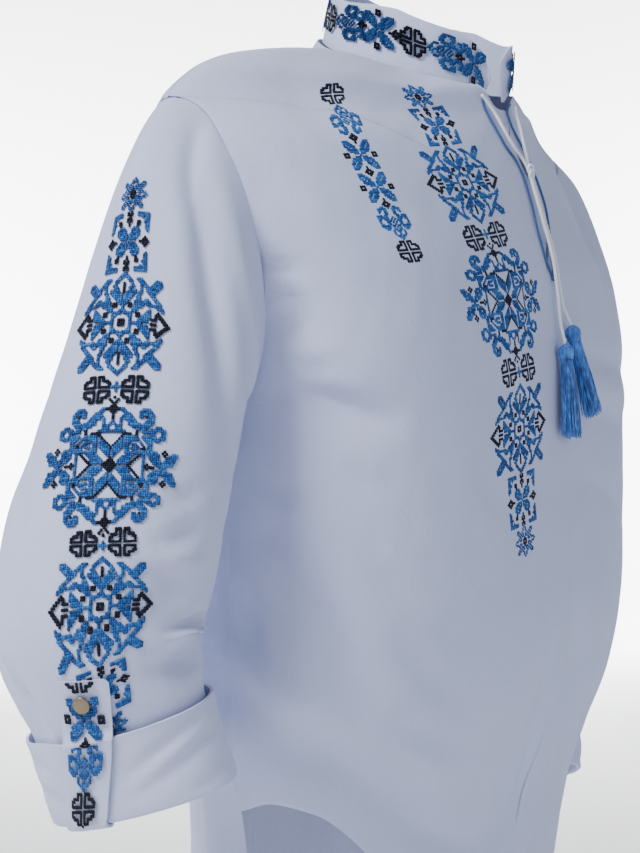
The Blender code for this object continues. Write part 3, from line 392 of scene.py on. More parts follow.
# Soft bands across the turned-back cuff, in parts of the way round and up it.
CUFF_CREASES = (
    (0, 0.060, 0.42, 0.240, 0.86, 0.002, 0.0050, -0.0012),
    (0, 0.070, 0.22, 0.280, 0.62, 0.002, 0.0055, -0.0012),
    (0, 0.080, 0.32, 0.250, 0.74, 0.002, 0.0045, 0.0009),
    (0, 0.160, 0.05, 0.320, 0.30, 0.001, 0.0050, -0.0009),
    (0, -0.150, 0.80, -0.070, 0.60, 0.001, 0.0050, -0.0010),
    (0, -0.170, 0.45, -0.060, 0.30, 0.001, 0.0050, -0.0010),
    (0, -0.300, 0.30, -0.200, 0.70, 0.001, 0.0055, -0.0012),
    (0, 0.380, 0.75, 0.520, 0.35, 0.001, 0.0055, -0.0012),
    (0, 0.460, 0.30, 0.580, 0.65, 0.001, 0.0050, -0.0010),
)
CUFF_SCALE = (CUFF_GIRTH, CUFF_HEIGHT)


# Waves of the ripple: radians for a metre across and a metre up, and the phase each starts at.
RIPPLE_WAVES = (
    (61, 23, 0.4), (37, -71, 1.7), (113, 47, 2.9), (-53, 131, 0.8), (171, -97, 4.1),
)
RIPPLE_HEIGHT = 0.11 * MM


def ripple(a, b):
    """Faint unevenness that worn linen has everywhere, in metres."""
    height = 0.0
    for ahead, up, start in RIPPLE_WAVES:
        height = height + np.sin(ahead * a + up * b + start + 1.3 * np.sin(17 * a + 29 * b))
    return height * RIPPLE_HEIGHT


def body_cloth(side, turn, z, lift=SHELL_INSIDE):
    """The draped cloth of one side of the body, raised by a lift."""
    raised = folds(BODY_FOLDS, side, turn, z, BODY_SCALE) + lift
    raised = raised + BODY_DEPTH * folds(BODY_CREASES, side, turn, z, BODY_SCALE)
    raised = raised + ripple(turn * BODY_SCALE[0] * side, z)
    points = body(turn, z) + outward(body, turn, z) * raised[..., None]
    points = points + neck_rise(points)[..., None] * np.array([0, 0, 1.0])
    return points * np.array([side, 1, 1])


# Edges of the slit, out from the centre, against the part of its length from the neck. The
# right front runs on past its piping, under the left one.
SLIT = {
    "part": (0.0, 0.06, 0.12, 0.18, 0.26, 0.37, 0.47, 0.56, 0.64, 0.76, 0.90, 1.0),
    "right": (
        -0.0122, -0.0017, 0.0008, -0.0014, -0.0030, -0.0080, -0.0125, -0.0140, -0.0125, -0.0078,
        -0.0022, 0.0,
    ),
    "left": (
        0.0135, 0.0030, 0.0006, 0.0030, 0.0086, 0.0146, 0.0172, 0.0178, 0.0160, 0.0105,
        0.0042, 0.0,
    ),
}
PIPING = {
    "part": (0.0, 0.15, 0.27, 0.36, 0.46, 0.58, 0.76, 0.90, 1.0),
    "right": (0.0290, 0.0262, 0.0204, 0.0098, 0.0062, 0.0066, 0.0088, 0.0070, 0.0),
}
NECK_FRONT = -0.0305  # height of the neck seam at the centre front
FRONT_HEM = {
    "turn": (0.0, 0.16, 0.34, 0.48, 0.60, 0.74, 0.88, 1.0),
    "z": (-0.634, -0.633, -0.614, -0.583, -0.553, -0.531, -0.524, -0.530),
}
BACK_HEM = {"turn": (1.0, 1.15, 1.5, 2.0), "z": (-0.655, -0.675, -0.690, -0.695)}
CHEST_LOW, CHEST_HIGH = -0.270, -0.092  # heights of the centre rows level with the armhole


def panel_rows(front):
    """Rows of a panel from hem to neck: turn and height at the outer edge, and centre height."""
    hem = FRONT_HEM["z"][-1]
    low = BACK_HEM["z"][0]
    side = np.linspace(hem, ARMPIT, SIDE_ROWS + 1)
    if not front:
        side = np.concatenate([np.linspace(low, hem, SLIT_ROWS + 1)[:-1], side])
    around = np.linspace(0.5, 0.0 if front else 1.0, ARMHOLE_ROWS + 1)[1:]
    hole_turn, hole_z = armhole(around)
    ridge = SHOULDER_TIP * (1 - np.linspace(0, 1, SHOULDER_ROWS + 1)[1:]) ** 1.6
    edge_turn = np.concatenate([np.ones_like(side), hole_turn, np.ones_like(ridge)])
    edge_z = np.concatenate([side, hole_z, ridge])
    top = NECK_FRONT if front else neckline(np.array(2.0))[1]
    bottom = FRONT_HEM["z"][0] if front else BACK_HEM["z"][-1]
    centre_z = np.concatenate([
        np.linspace(bottom, CHEST_LOW, len(side)),
        np.linspace(CHEST_LOW, CHEST_HIGH, ARMHOLE_ROWS + 1)[1:],
        np.linspace(CHEST_HIGH, top, SHOULDER_ROWS + 1)[1:],
    ])
    return edge_turn, edge_z, centre_z


def slit_edge(side, z):
    """Distance of the slit's edge from the centre at a height."""
    part = np.clip((z - NECK_FRONT) / (SLIT_FOOT - NECK_FRONT), 0, 1)
    return between(SLIT, "part", "right" if side == RIGHT else "left", part)


def piping_edge(side, z):
    """Distance of the piping from the centre at a height."""
    part = np.clip((z - NECK_FRONT) / (SLIT_FOOT - NECK_FRONT), 0, 1)
    if side == RIGHT:
        return np.maximum(between(PIPING, "part", "right", part), 1.3 * MM)
    return np.maximum(between(SLIT, "part", "left", part), 1.3 * MM)


def panel(front, side):
    """Points of half a front or back, rows from hem to neck, columns from centre to side."""
    edge_turn, edge_z, centre_z = panel_rows(front)
    columns = FRONT_COLUMNS if front else BACK_COLUMNS
    centre = 0.0 if front else 2.0
    u = np.linspace(0, 1, columns + 1)[None, :] ** COLUMN_CROWD
    v = (np.arange(len(edge_z)) / (len(edge_z) - 1))[:, None]
    inner_turn = np.full(len(centre_z), centre)
    start = 0.0
    if front:
        gap = slit_edge(side, centre_z + neck_rise(body(0 * centre_z, centre_z)))
        power = between(BODY, "height", "squareness", centre_z) / 2
        ratio = np.abs(gap) / between(BODY, "height", "half_width", centre_z)
        inner_turn = np.sign(gap) * np.arcsin(ratio**power) * 2 / math.pi
        start = math.asin(gap[-1] / NECK_RADIUS) * 2 / math.pi
    part = start + (1 - start) * u if front else 2 - u
    hem = FRONT_HEM if front else BACK_HEM
    hem_turn = centre + (1 - centre) * u
    hem_z = between(hem, "turn", "z", hem_turn)
    neck_turn, neck_z = neckline(part)
    turn = (1 - u) * inner_turn[:, None] + u * edge_turn[:, None]
    early = 1 - (1 - u) ** EDGE_LEAD
    z = (1 - early) * centre_z[:, None] + early * edge_z[:, None]
    near_neck, near_hem = v**3, (1 - v) ** 4
    turn = turn + near_neck * (neck_turn - turn[-1:]) + near_hem * (hem_turn - turn[:1])
    z = z + near_neck * (neck_z - z[-1:]) + near_hem * (hem_z - z[:1])
    return body_cloth(side, turn, z)


def draw_in(points, edge, distance=SEAM):
    """Moves one edge of a grid of points back from its seam line."""
    rim, inner = {
        "first_row": (np.s_[0], np.s_[1]),
        "last_row": (np.s_[-1], np.s_[-2]),
        "first_column": (np.s_[:, 0], np.s_[:, 1]),
        "last_column": (np.s_[:, -1], np.s_[:, -2]),
    }[edge]
    points[rim] += unit(points[inner] - points[rim]) * np.reshape(distance, (-1, 1))


def sleeve_ring(table, side, around, along):
    """Point on the sleeve below its cap, around the arm and along it."""
    step = 1e-3
    centre = place_in(table, "along", along)
    ahead = place_in(table, "along", np.minimum(along + step, 1.0))
    behind = place_in(table, "along", np.maximum(along - step, 0.0))
    run = unit(ahead - behind)
    out = unit(np.cross(run, np.array([0.0, side, 0.0])))
    forward = np.cross(run, out) * side
    angle = around * 2 * math.pi
    wide = between(table, "along", "wide", along) * np.cos(angle)
    deep = between(table, "along", "deep", along) * np.sin(angle)
    return centre + out * wide[..., None] + forward * deep[..., None]


CAP = 0.38  # part of the sleeve's length taken by its cap
CAP_LEAN = (1.02, 0.35)  # lean of the cloth leaving the armhole, in radians, top and armpit


def sleeve_form(table, side, around, along):
    """Smooth sleeve: a cap that leaves the armhole and turns into the arm's tube."""
    turn, z = armhole(around)
    low = 0.5 - 0.5 * np.cos(around * 2 * math.pi)
    seam = body(turn, z) + (ARMPIT_STAND * low**2)[..., None] * np.array([1.0, 0, 0])
    seam = seam * np.array([side, 1, 1])
    below = np.clip((along - CAP) / (1 - CAP), 0, 1)
    tube = sleeve_ring(table, side, around, below)
    end = sleeve_ring(table, side, around, np.zeros_like(along))
    onward = unit(sleeve_ring(table, side, around, np.full_like(along, 0.02)) - end)
    reach = np.linalg.norm(end - seam, axis=-1, keepdims=True)
    high = (0.5 + 0.5 * np.cos(around * 2 * math.pi))[..., None]
    lean = CAP_LEAN[1] + (CAP_LEAN[0] - CAP_LEAN[1]) * high
    leave = np.concatenate([side * np.sin(lean), 0 * lean, -np.cos(lean)], axis=-1)
    t = np.clip(along / CAP, 0, 1)[..., None]
    cap = (
        seam * (1 + 2 * t) * (1 - t) ** 2
        + end * t * t * (3 - 2 * t)
        + leave * reach * t * (1 - t) ** 2
        - onward * reach * t * t * (1 - t)
    )
    return np.where(along[..., None] < CAP, cap, tube)


# Largest folds of the sleeves, from one place around and along to another.
SLEEVE_FOLDS = (
    (-1, 0.115, 0.06, 0.262, 0.46, 0.004, 0.016, -0.010),
    (-1, 0.175, 0.05, 0.345, 0.24, 0.000, 0.018, 0.005),
    (-1, 0.150, 0.70, 0.240, 0.68, 0.000, 0.015, -0.005),
    (-1, 0.175, 0.80, 0.330, 0.775, 0.004, 0.015, -0.008),
    (-1, -0.120, 0.81, -0.050, 0.90, 0.000, 0.015, -0.004),
    (-1, 0.420, 0.55, 0.560, 0.62, 0.004, 0.017, -0.007),
    (-1, -0.340, 0.64, -0.220, 0.72, -0.004, 0.016, -0.006),
    (-1, -0.260, 0.20, -0.180, 0.52, 0.006, 0.018, -0.007),
    (1, 0.250, 0.10, 0.250, 0.45, 0.000, 0.050, 0.010),
    (1, 0.130, 0.08, 0.230, 0.44, -0.006, 0.017, -0.009),
    (1, 0.160, 0.66, 0.300, 0.70, 0.004, 0.016, -0.006),
    (1, 0.190, 0.82, 0.330, 0.78, 0.004, 0.015, -0.007),
    (1, 0.440, 0.58, 0.580, 0.63, 0.004, 0.017, -0.007),
    (1, -0.250, 0.18, -0.170, 0.50, 0.008, 0.018, -0.007),
    (1, -0.140, 0.70, -0.040, 0.78, -0.004, 0.016, -0.005),
)
SLEEVE_SCALE = (0.42, 0.46)  # metres once round a sleeve and along it
SLEEVE_RADIUS = 0.07  # of the tube on which a sleeve's ripple is read

AROUND_FROM = -0.38  # where the places round a sleeve start and end, at its rear


def wrap(around):
    """Places round a sleeve brought into the one turn that the tables use."""
    return (around - AROUND_FROM) % 1 + AROUND_FROM


def sleeve_cloth(side, around, along, lift=SHELL_INSIDE):
    """The sleeve's draped cloth, raised by a lift."""
    table = SLEEVES[side]

    def surface(a, b):
        return sleeve_form(table, side, a, b)

    wrapped = wrap(around)
    raised = folds(SLEEVE_FOLDS, side, wrapped, along, SLEEVE_SCALE) + lift
    raised = raised + SLEEVE_DEPTH * folds(SLEEVE_CREASES, side, wrapped, along, SLEEVE_SCALE)
    turned = wrapped * 2 * math.pi
    across, ahead = SLEEVE_RADIUS * np.sin(turned), SLEEVE_RADIUS * np.cos(turned)
    raised = raised + ripple(across * side, along * SLEEVE_SCALE[1] + ahead)
    normal = outward(surface, around, np.clip(along, 0.002, 0.998), 1e-3) * side
    return surface(around, along) + normal * raised[..., None]


def sleeve_length(side):
    """Length of the whole sleeve along its middle, cap and all."""
    path = np.array([SLEEVES[side][axis] for axis in "xyz"])
    return np.linalg.norm(np.diff(path, axis=1), axis=0).sum() / (1 - CAP)


def cuff_stand(up):
    """Lift of the cuff's inside off the sleeve, up from its fold."""
    return CUFF_STAND[0] + (CUFF_STAND[1] - CUFF_STAND[0]) * up**0.7


def cuff_place(side, around, up, lift=0.0):
    """Point on the inside of a turned-back cuff, up from its fold in parts of its height."""
    along = 1 - np.clip(up, 0, 1) * CUFF_HEIGHT / sleeve_length(side)
    stand = cuff_stand(np.clip(up, 0, 1))
    points = sleeve_cloth(side, around, along, stand + lift)
    ahead = sleeve_cloth(side, around, along - 0.01, stand + lift)
    return points + unit(points - ahead) * CUFF_DROP * (1 - np.clip(up, 0, 1))[..., None]


def cuff_cloth(side, around, up, lift=0.0):
    """The cuff's outside or inside with its soft bands."""
    bands = SLEEVE_DEPTH * folds(CUFF_CREASES, 0, wrap(around), up, CUFF_SCALE)
    return cuff_place(side, around, up, lift + bands)


def chest(x, z, lift):
    """Point in front of the chest, off the middle of its cloth."""
    side = np.where(x < 0, RIGHT, LEFT)
    rise = 0 * z
    for _ in range(3):
        low = z - rise
        power = between(BODY, "height", "squareness", low) / 2
        ratio = np.abs(x) / between(BODY, "height", "half_width", low)
        turn = np.arcsin(ratio**power) * 2 / math.pi
        place = body(turn, low)
        rise = neck_rise(place)
    place = place + rise[..., None] * np.array([0, 0, 1.0])
    place = place + outward(body, turn, low) * lift[..., None]
    return place * np.stack([side, 1 + 0 * x, 1 + 0 * x], axis=-1)


def chest_point(place):
    """One place in front of the chest: x, height and lift."""
    return chest(*(np.array([value]) for value in place))[0]


def named(word, side):
    """A piece's name with the wearer's side."""
    return word + ("_right" if side == RIGHT else "_left")


# Where the tab's middle line runs round the cuff and the sleeve, against the height above the fold.
TAB_PATH = {"up": (0.0, 0.057, 0.094), "around": (-0.032, 0.030, 0.0465)}
TAB_SLANT = 0.15  # how much its rows slope against the cuff's


def tab_points(side, across, up, lift):
    """Points on a roll-up tab, up from the cuff's fold in metres."""
    up = up - TAB_SLANT * across * np.clip(up / 0.02, 0, 1)
    on_cuff = np.clip(up / CUFF_HEIGHT, 0, 1)
    past = np.clip(up / CUFF_HEIGHT - 1, 0, None)
    around = between(TAB_PATH, "up", "around", up) + across / CUFF_GIRTH
    drop = 1 / (1 + (past / 0.12) ** 2)
    cuff_top = cuff_place(side, around, on_cuff, CUFF_CLOTH + lift)
    along = 1 - up / sleeve_length(side)
    stand = (CUFF_STAND[1] + CUFF_CLOTH) * drop + (CLOTH + FREE) * (1 - drop) + lift
    above = sleeve_cloth(side, around, along, stand)
    return np.where(past[..., None] > 0, above, cuff_top)


# How far the collar's top stands out near its ends, against the distance from the end.
COLLAR_BEND = {
    "run": (0.0, 0.008, 0.016, 0.026, 0.038, 0.050),
    "right": (0.0070, 0.0049, 0.0032, 0.0016, 0.0004, 0.0),
    "left": (-0.0035, 0.0022, 0.0048, 0.0042, 0.0014, 0.0),
}


def collar_points(around, up):
    """Points on the collar's inside: around from its right end to its left, up from the seam."""
    right_end, left_end = (math.asin(end / NECK_RADIUS) for end in COLLAR_ENDS)
    angle = -right_end - around * (2 * math.pi - right_end - left_end)
    wrapped = np.abs((angle + math.pi) % (2 * math.pi) - math.pi)
    _, seam = neckline(wrapped * 2 / math.pi)
    rear = (0.5 - 0.5 * np.cos(wrapped)) ** 1.5
    lean = COLLAR_LEAN[0] + (COLLAR_LEAN[1] - COLLAR_LEAN[0]) * rear
    girth = NECK_RADIUS * (2 * math.pi - right_end - left_end)
    height = COLLAR_HEIGHT
    for part, (long, tall) in zip((around, 1 - around), COLLAR_CORNERS):
        short = np.clip(1 - part * girth / long, 0, 1)
        height = height - tall * (1 - np.sqrt(1 - short**2))
    radius = NECK_RADIUS - COLLAR_CLOTH - SEAM - lean * up
    bend = between(COLLAR_BEND, "run", "right", around * girth)
    bend = bend + between(COLLAR_BEND, "run", "left", (1 - around) * girth)
    radius = radius + bend * (0.35 + 0.65 * up)
    right, left = (
        np.clip(1 - part * girth / COLLAR_END_RUN, 0, 1) ** 2 for part in (around, 1 - around)
    )
    rim = np.stack([NECK_RADIUS * np.sin(angle), -NECK_RADIUS * np.cos(angle)], axis=-1)
    seam = seam + neck_rise(rim) * (1 - 0.6 * up)  # its upper edge runs straighter
    seam = seam + COLLAR_END_RISE[0] * right + COLLAR_END_RISE[1] * left
    return np.stack(
        [radius * np.sin(angle), -radius * np.cos(angle), seam + height * up], axis=-1
    )


FINE_STEPS = 400  # points of a route's curve before it is spaced out


def run_along(line):
    """Distance of each point of a line from its first."""
    return np.concatenate([[0], np.cumsum(np.linalg.norm(np.diff(line, axis=0), axis=1))])


def at_lengths(lengths_wanted, run, values):
    """Columns of values read at lengths along a line."""
    return np.stack([np.interp(lengths_wanted, run, value) for value in values.T], axis=-1)


def through(places, count):
    """Points evenly spaced on a curve with even bends through a route's own points."""
    places = np.array(places)
    reach = run_along(places)
    fine = np.linspace(0, reach[-1], FINE_STEPS)
    line = np.stack(
        [curve_through(reach, value, np.gradient(value, reach), fine) for value in places.T],
        axis=-1,
    )
    run = run_along(line)
    return at_lengths(np.linspace(0, run[-1], count), run, line)


# Routes of the tie cords: x, height and lift off the middle of the chest's cloth.
TIES = {
    RIGHT: (
        (-0.0330, -0.0310, 0.0058),
        (-0.0290, -0.0350, 0.0060),
        (-0.0240, -0.0440, 0.0062),
        (-0.0205, -0.0560, 0.0062),
        (-0.0130, -0.0695, 0.0060),
        (-0.0048, -0.0780, 0.0060),
        (-0.0017, -0.0840, 0.0060),
        (-0.0017, -0.0950, 0.0058),
        (-0.0017, -0.1200, 0.0058),
        (-0.0018, -0.1500, 0.0058),
        (-0.0020, -0.1750, 0.0060),
        (-0.0022, -0.1950, 0.0058),
        (-0.0030, -0.2100, 0.0076),
    ),
    LEFT: (
        (0.0140, -0.0345, 0.0058),
        (0.0118, -0.0400, 0.0060),
        (0.0085, -0.0490, 0.0064),
        (0.0060, -0.0580, 0.0064),
        (0.0036, -0.0700, 0.0062),
        (0.0018, -0.0815, 0.0060),
        (0.0017, -0.0950, 0.0058),
        (0.0018, -0.1200, 0.0058),
        (0.0022, -0.1500, 0.0058),
        (0.0034, -0.1700, 0.0058),
        (0.0064, -0.1840, 0.0058),
        (0.0112, -0.1965, 0.0078),
    ),
}
KNOT_HEIGHT = -0.086
# Tassels: x, height and lift of the middle of the head, then of the skirt's foot.
TASSELS = {
    RIGHT: ((-0.0035, -0.2165, 0.0082), (-0.0080, -0.2790, 0.0100)),
    LEFT: ((0.0122, -0.2025, 0.0082), (0.0280, -0.2630, 0.0125)),
}
TASSEL_HEAD = 11 * MM


# Materials


class Nodes:
    """A material's node tree, with the few calls that building it takes."""

    def __init__(self, name, roughness, metallic=0.0, specular=0.5, sheen=0.0):
        self.material = bpy.data.materials.new(name)
        self.material.use_nodes = True
        self.tree = self.material.node_tree
        self.shader = self.tree.nodes["Principled BSDF"]
        self.shader.inputs["Roughness"].default_value = roughness
        self.shader.inputs["Metallic"].default_value = metallic
        self.shader.inputs["Specular IOR Level"].default_value = specular
        self.shader.inputs["Sheen Weight"].default_value = sheen

    def add(self, kind, **values):
        """A new node, with its own properties set or else its sockets."""
        node = self.tree.nodes.new(kind)
        for name, value in values.items():
            if hasattr(node, name):
                setattr(node, name, value)
            else:
                node.inputs[name.replace("_", " ")].default_value = value
        return node

    def join(self, output, socket):
        """Leads an output to a socket."""
        self.tree.links.new(output, socket)

    def math(self, operation, first, second):
        """Two values or outputs put through one operation."""
        node = self.add("ShaderNodeMath", operation=operation)
        for socket, value in zip(node.inputs, (first, second)):
            if isinstance(value, (int, float)):
                socket.default_value = value
            else:
                self.join(value, socket)
        return node.outputs[0]

    def stretched(self, source, scale, turn=0.0):
        """A place scaled along each axis and turned about Z."""
        node = self.add("ShaderNodeMapping")
        node.inputs["Scale"].default_value = scale
        node.inputs["Rotation"].default_value = (0, 0, turn)
        self.join(source, node.inputs["Vector"])
        return node.outputs[0]

    def noise(self, source, scale, detail=2.0):
        """Cloudy noise at a place."""
        node = self.add("ShaderNodeTexNoise")
        node.inputs["Scale"].default_value = scale
        node.inputs["Detail"].default_value = detail
        self.join(source, node.inputs["Vector"])
        return node.outputs["Fac"]

    def colours(self, factor, stops):
        """A ramp of colours, each with its place on it."""
        node = self.add("ShaderNodeValToRGB")
        ramp = node.color_ramp
        while len(ramp.elements) < len(stops):
            ramp.elements.new(0.5)
        for element, (at, colour) in zip(ramp.elements, stops):
            element.position = at
            element.color = (*colour, 1)
        self.join(factor, node.inputs["Fac"])
        return node.outputs["Color"]

    def bump(self, height, distance, strength=1.0, under=None):
        """Relief of a height over whatever relief lies under it."""
        node = self.add("ShaderNodeBump")
        node.inputs["Strength"].default_value = strength
        node.inputs["Distance"].default_value = distance
        self.join(height, node.inputs["Height"])
        if under is not None:
            self.join(under, node.inputs["Normal"])
        return node.outputs["Normal"]

    def mix(self, *shares):
        """Outputs added up, each in its own share."""
        total = None
        for output, share in shares:
            part = self.math("MULTIPLY", output, share)
            total = part if total is None else self.math("ADD", total, part)
        return total

    def finish(self, shade, stops, relief):
        """Leads colours and relief to the shader and gives the material."""
        self.join(self.colours(shade, stops), self.shader.inputs["Base Color"])
        self.join(relief, self.shader.inputs["Normal"])
        return self.material


def tint(colour, by):
    """A colour made lighter or darker."""
    return tuple(min(1.0, part * by) for part in colour)


THREAD_PITCH = 0.62 * MM  # distance between the threads of the linen
WAVE_PERIOD = math.pi / 10  # length of one band of a wave texture at scale 1


def weave(made, flat, pitch):
    """Height of a plain weave on a flat map in metres."""
    heights = []
    for direction in ("X", "Y"):
        wave = made.add("ShaderNodeTexWave", wave_type="BANDS", bands_direction=direction)
        wave.inputs["Scale"].default_value = WAVE_PERIOD / pitch
        wave.inputs["Distortion"].default_value = 0.6
        wave.inputs["Detail"].default_value = 1.0
        made.join(flat, wave.inputs["Vector"])
        heights.append(wave.outputs["Fac"])
    return made.math("MAXIMUM", *heights)


def linen(name, colour):
    """Washed linen: a plain weave with slubs and soft crumple, on the piece's own flat map."""
    made = Nodes(name, 0.86, specular=0.25, sheen=0.18)
    flat = made.add("ShaderNodeTexCoord").outputs["UV"]
    slub_across = made.noise(made.stretched(flat, (90, 1500, 1)), 1.0, 3.0)
    slub_up = made.noise(made.stretched(flat, (1500, 90, 1)), 1.0, 3.0)
    slub = made.math("ADD", slub_across, slub_up)
    cloud = made.noise(flat, 14.0, 4.0)
    shade = made.mix((slub, 0.32), (cloud, 0.36))
    stops = ((0.30, tint(colour, 0.93)), (0.50, colour), (0.70, tint(colour, 1.05)))
    crumple = made.bump(made.noise(flat, 120.0, 5.0), 0.9 * MM, 0.55)
    slubs = made.bump(slub, 0.16 * MM, 0.6, crumple)
    woven = made.bump(weave(made, flat, THREAD_PITCH), 0.12 * MM, 0.7, slubs)
    return made.finish(shade, stops, woven)


def stitched_thread(name, deep, mid, light):
    """Stranded embroidery cotton, each stitch with its own depth of dye, with painted sheen at the
    light end of its colours.
    """
    made = Nodes(name, 0.5, specular=0.2)
    dye = made.add("ShaderNodeAttribute", attribute_name="dye").outputs["Fac"]
    place = made.add("ShaderNodeTexCoord").outputs["Object"]
    strand = made.noise(place, 2600.0, 2.0)
    cloud = made.noise(place, 60.0, 2.0)
    shade = made.mix((dye, 0.55), (strand, 0.28), (cloud, 0.25))
    # The light stop is a painted highlight: the thread's sheen put into its colour, mixed with random
    # tone.
    stops = ((0.25, deep), (0.52, mid), (0.85, light))
    return made.finish(shade, stops, made.bump(strand, 0.12 * MM, 0.6))


def cord_thread(name, colour, pitch, slant):
    """Twisted or wrapped thread on a flat map that runs along and around a cord."""
    made = Nodes(name, 0.55, sheen=0.25)
    flat = made.add("ShaderNodeTexCoord").outputs["UV"]
    wave = made.add("ShaderNodeTexWave", wave_type="BANDS", bands_direction="X")
    wave.inputs["Scale"].default_value = WAVE_PERIOD / pitch
    wave.inputs["Distortion"].default_value = 0.8
    made.join(made.stretched(flat, (1, 1, 1), slant), wave.inputs["Vector"])
    fibre = made.noise(made.stretched(flat, (700, 3000, 1), slant), 1.0, 2.0)
    shade = made.mix((wave.outputs["Fac"], 0.5), (fibre, 0.5))
    stops = ((0.2, tint(colour, 0.72)), (0.5, colour), (0.85, tint(colour, 1.18)))
    rough = made.bump(fibre, 0.08 * MM, 0.6)
    return made.finish(shade, stops, made.bump(wave.outputs["Fac"], 0.3 * MM, 0.8, rough))


def tassel_thread(name, deep, mid, light):
    """Loose cotton strands, lighter where the outer ones catch the light."""
    made = Nodes(name, 0.48, sheen=0.35)
    place = made.add("ShaderNodeTexCoord").outputs["Object"]
    strand = made.noise(made.stretched(place, (900, 900, 60)), 1.0, 2.0)
    cloud = made.noise(place, 130.0, 1.0)
    shade = made.mix((strand, 0.6), (cloud, 0.4))
    stops = ((0.37, deep), (0.49, mid), (0.62, light))
    return made.finish(shade, stops, made.bump(strand, 0.2 * MM, 0.7))


def aged_brass(name, colour):
    """Brass with a dull brown patina, fine scratches and a painted highlight on its rolled rim."""
    made = Nodes(name, 0.34, 0.92)
    place = made.add("ShaderNodeTexCoord").outputs["Object"]
    patina = made.noise(place, 420.0, 4.0)
    scratch = made.noise(made.stretched(place, (300, 4200, 700), 0.5), 1.0, 2.0)
    edge = made.add("ShaderNodeNewGeometry").outputs["Pointiness"]
    # Painted highlight: pointiness lightens the rolled rim and darkens the groove beside it.
    rim_highlight = made.math("MULTIPLY", made.math("SUBTRACT", edge, 0.5), 1.4)
    shade = made.math("ADD", made.math("ADD", made.math("MULTIPLY", patina, 0.75), 0.08), rim_highlight)
    stops = ((0.25, tint(colour, 0.55)), (0.5, colour), (0.8, tint(colour, 2.1)))
    rough = made.add("ShaderNodeMapRange")
    rough.inputs["To Min"].default_value = 0.26
    rough.inputs["To Max"].default_value = 0.5
    made.join(patina, rough.inputs["Value"])
    made.join(rough.outputs["Result"], made.shader.inputs["Roughness"])
    return made.finish(shade, stops, made.bump(scratch, 0.03 * MM, 0.5))


def material(key):
    """A finish of the shirt, made when it is first asked for."""
    found = bpy.data.materials.get(key)
    if found:
        return found
    palette = bpy.context.scene.shirt_colours
    white, blue, sheen_blue, black, cord, brass = (
        tuple(getattr(palette, name))
        for name in ("linen", "blue", "sheen_blue", "black", "cord", "brass")
    )
    if key == "washed_linen":
        return linen(key, white)
    if key == "blue_cotton":
        return stitched_thread(key, tint(blue, 0.42), blue, sheen_blue)
    if key == "black_cotton":
        return stitched_thread(key, tint(black, 0.5), black, tint(black, 2.6))
    if key == "white_cotton":
        return stitched_thread(key, tint(white, 0.88), white, tint(white, 1.08))
    if key == "white_cord":
        return cord_thread(key, cord, 1.5 * MM, 0.7)
    if key == "blue_piping":
        return cord_thread(key, blue, 0.9 * MM, 0.9)
    if key == "blue_tassel":
        return tassel_thread(key, tint(blue, 0.8), tint(blue, 1.9), tint(sheen_blue, 1.5))
    if key == "aged_brass":
        return aged_brass(key, brass)
    raise ValueError(f"no finish is called {key}")


# Meshes


def close_up(shape):
    """Welds a shape's seams and poles, fills its open ends and turns its faces outwards."""
    bmesh.ops.remove_doubles(shape, verts=shape.verts, dist=1e-7)
    bmesh.ops.holes_fill(shape, edges=[edge for edge in shape.edges if edge.is_boundary])
    bmesh.ops.recalc_face_normals(shape, faces=shape.faces)


def finish_piece(name, shape, finish):
    """A bmesh made an object of the shirt, riding on its one body."""
    mesh = bpy.data.meshes.new(name)
    shape.to_mesh(mesh)
    shape.free()
    mesh.shade_smooth()
    mesh.materials.append(material(finish))
    piece = bpy.data.objects.new(name, mesh)
    bpy.context.scene.collection.objects.link(piece)
    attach(piece, BODY_NAME)
    return piece


def lengths(points, axis, origin=0):
    """Distance along each line of a grid of points, from one of its points."""
    step = np.linalg.norm(np.diff(points, axis=axis), axis=-1)
    start = np.zeros_like(np.take(step, [0], axis=axis))
    run = np.cumsum(np.concatenate([start, step], axis=axis), axis=axis)
    return run - np.take(run, [origin], axis=axis)


def lay_grid(shape, points, flat):
    """Adds a sheet of square cells whose corners lie on a grid of points, with its flat map."""
    rows, columns = points.shape[0] - 1, points.shape[1] - 1
    layer = shape.loops.layers.uv.verify()
    before = len(shape.faces)
    made = bmesh.ops.create_grid(shape, x_segments=columns, y_segments=rows, size=0.5)
    places = {}
    for vertex in made["verts"]:
        place = round((vertex.co.y + 0.5) * rows), round((vertex.co.x + 0.5) * columns)
        places[vertex] = place
        vertex.co = points[place]
    shape.faces.ensure_lookup_table()
    for face in shape.faces[before:]:
        for loop in face.loops:
            loop[layer].uv = flat[places[loop.vert]]


def cloth(name, grids, wall, finish="washed_linen", edge=0.0):
    """A sheet of sewn cloth: grids joined where they meet, with a wall that grows outwards."""
    shape = bmesh.new()
    for points, flat in grids:
        lay_grid(shape, points, flat)
    bmesh.ops.remove_doubles(shape, verts=shape.verts, dist=1e-6)
    piece = finish_piece(name, shape, finish)
    thick = piece.modifiers.new("wall", "SOLIDIFY")
    thick.thickness = wall
    thick.offset = 1.0
    if edge:
        soft = piece.modifiers.new("soft edge", "BEVEL")
        soft.affect = "EDGES"
        soft.width = edge
        soft.segments = 2
        soft.profile = 0.5
        soft.material = -1
        soft.limit_method = "ANGLE"
        soft.angle_limit = math.radians(60)
    shade = piece.modifiers.new("even shading", "WEIGHTED_NORMAL")
    shade.weight = 80
    return piece


def flat_map(points, origin=0):
    """The grid laid flat in metres: along its rows from one column, and up its columns."""
    return np.stack([lengths(points, 1, origin), lengths(points, 0)], axis=-1)


def facing(side, points, origin):
    """A grid and its flat map, turned so that its faces look outwards on either side."""
    flat = flat_map(points, origin)
    return (points[:, ::-1], flat[:, ::-1]) if side == RIGHT else (points, flat)


def mirrored_pair(points):
    """Two halves that meet on the centre line, as grids of one sheet with a flat map across."""
    right, left = points
    flat_right = flat_map(right) * np.array([-1, 1])
    return [(right[:, ::-1], flat_right[:, ::-1]), (left, flat_map(left))]


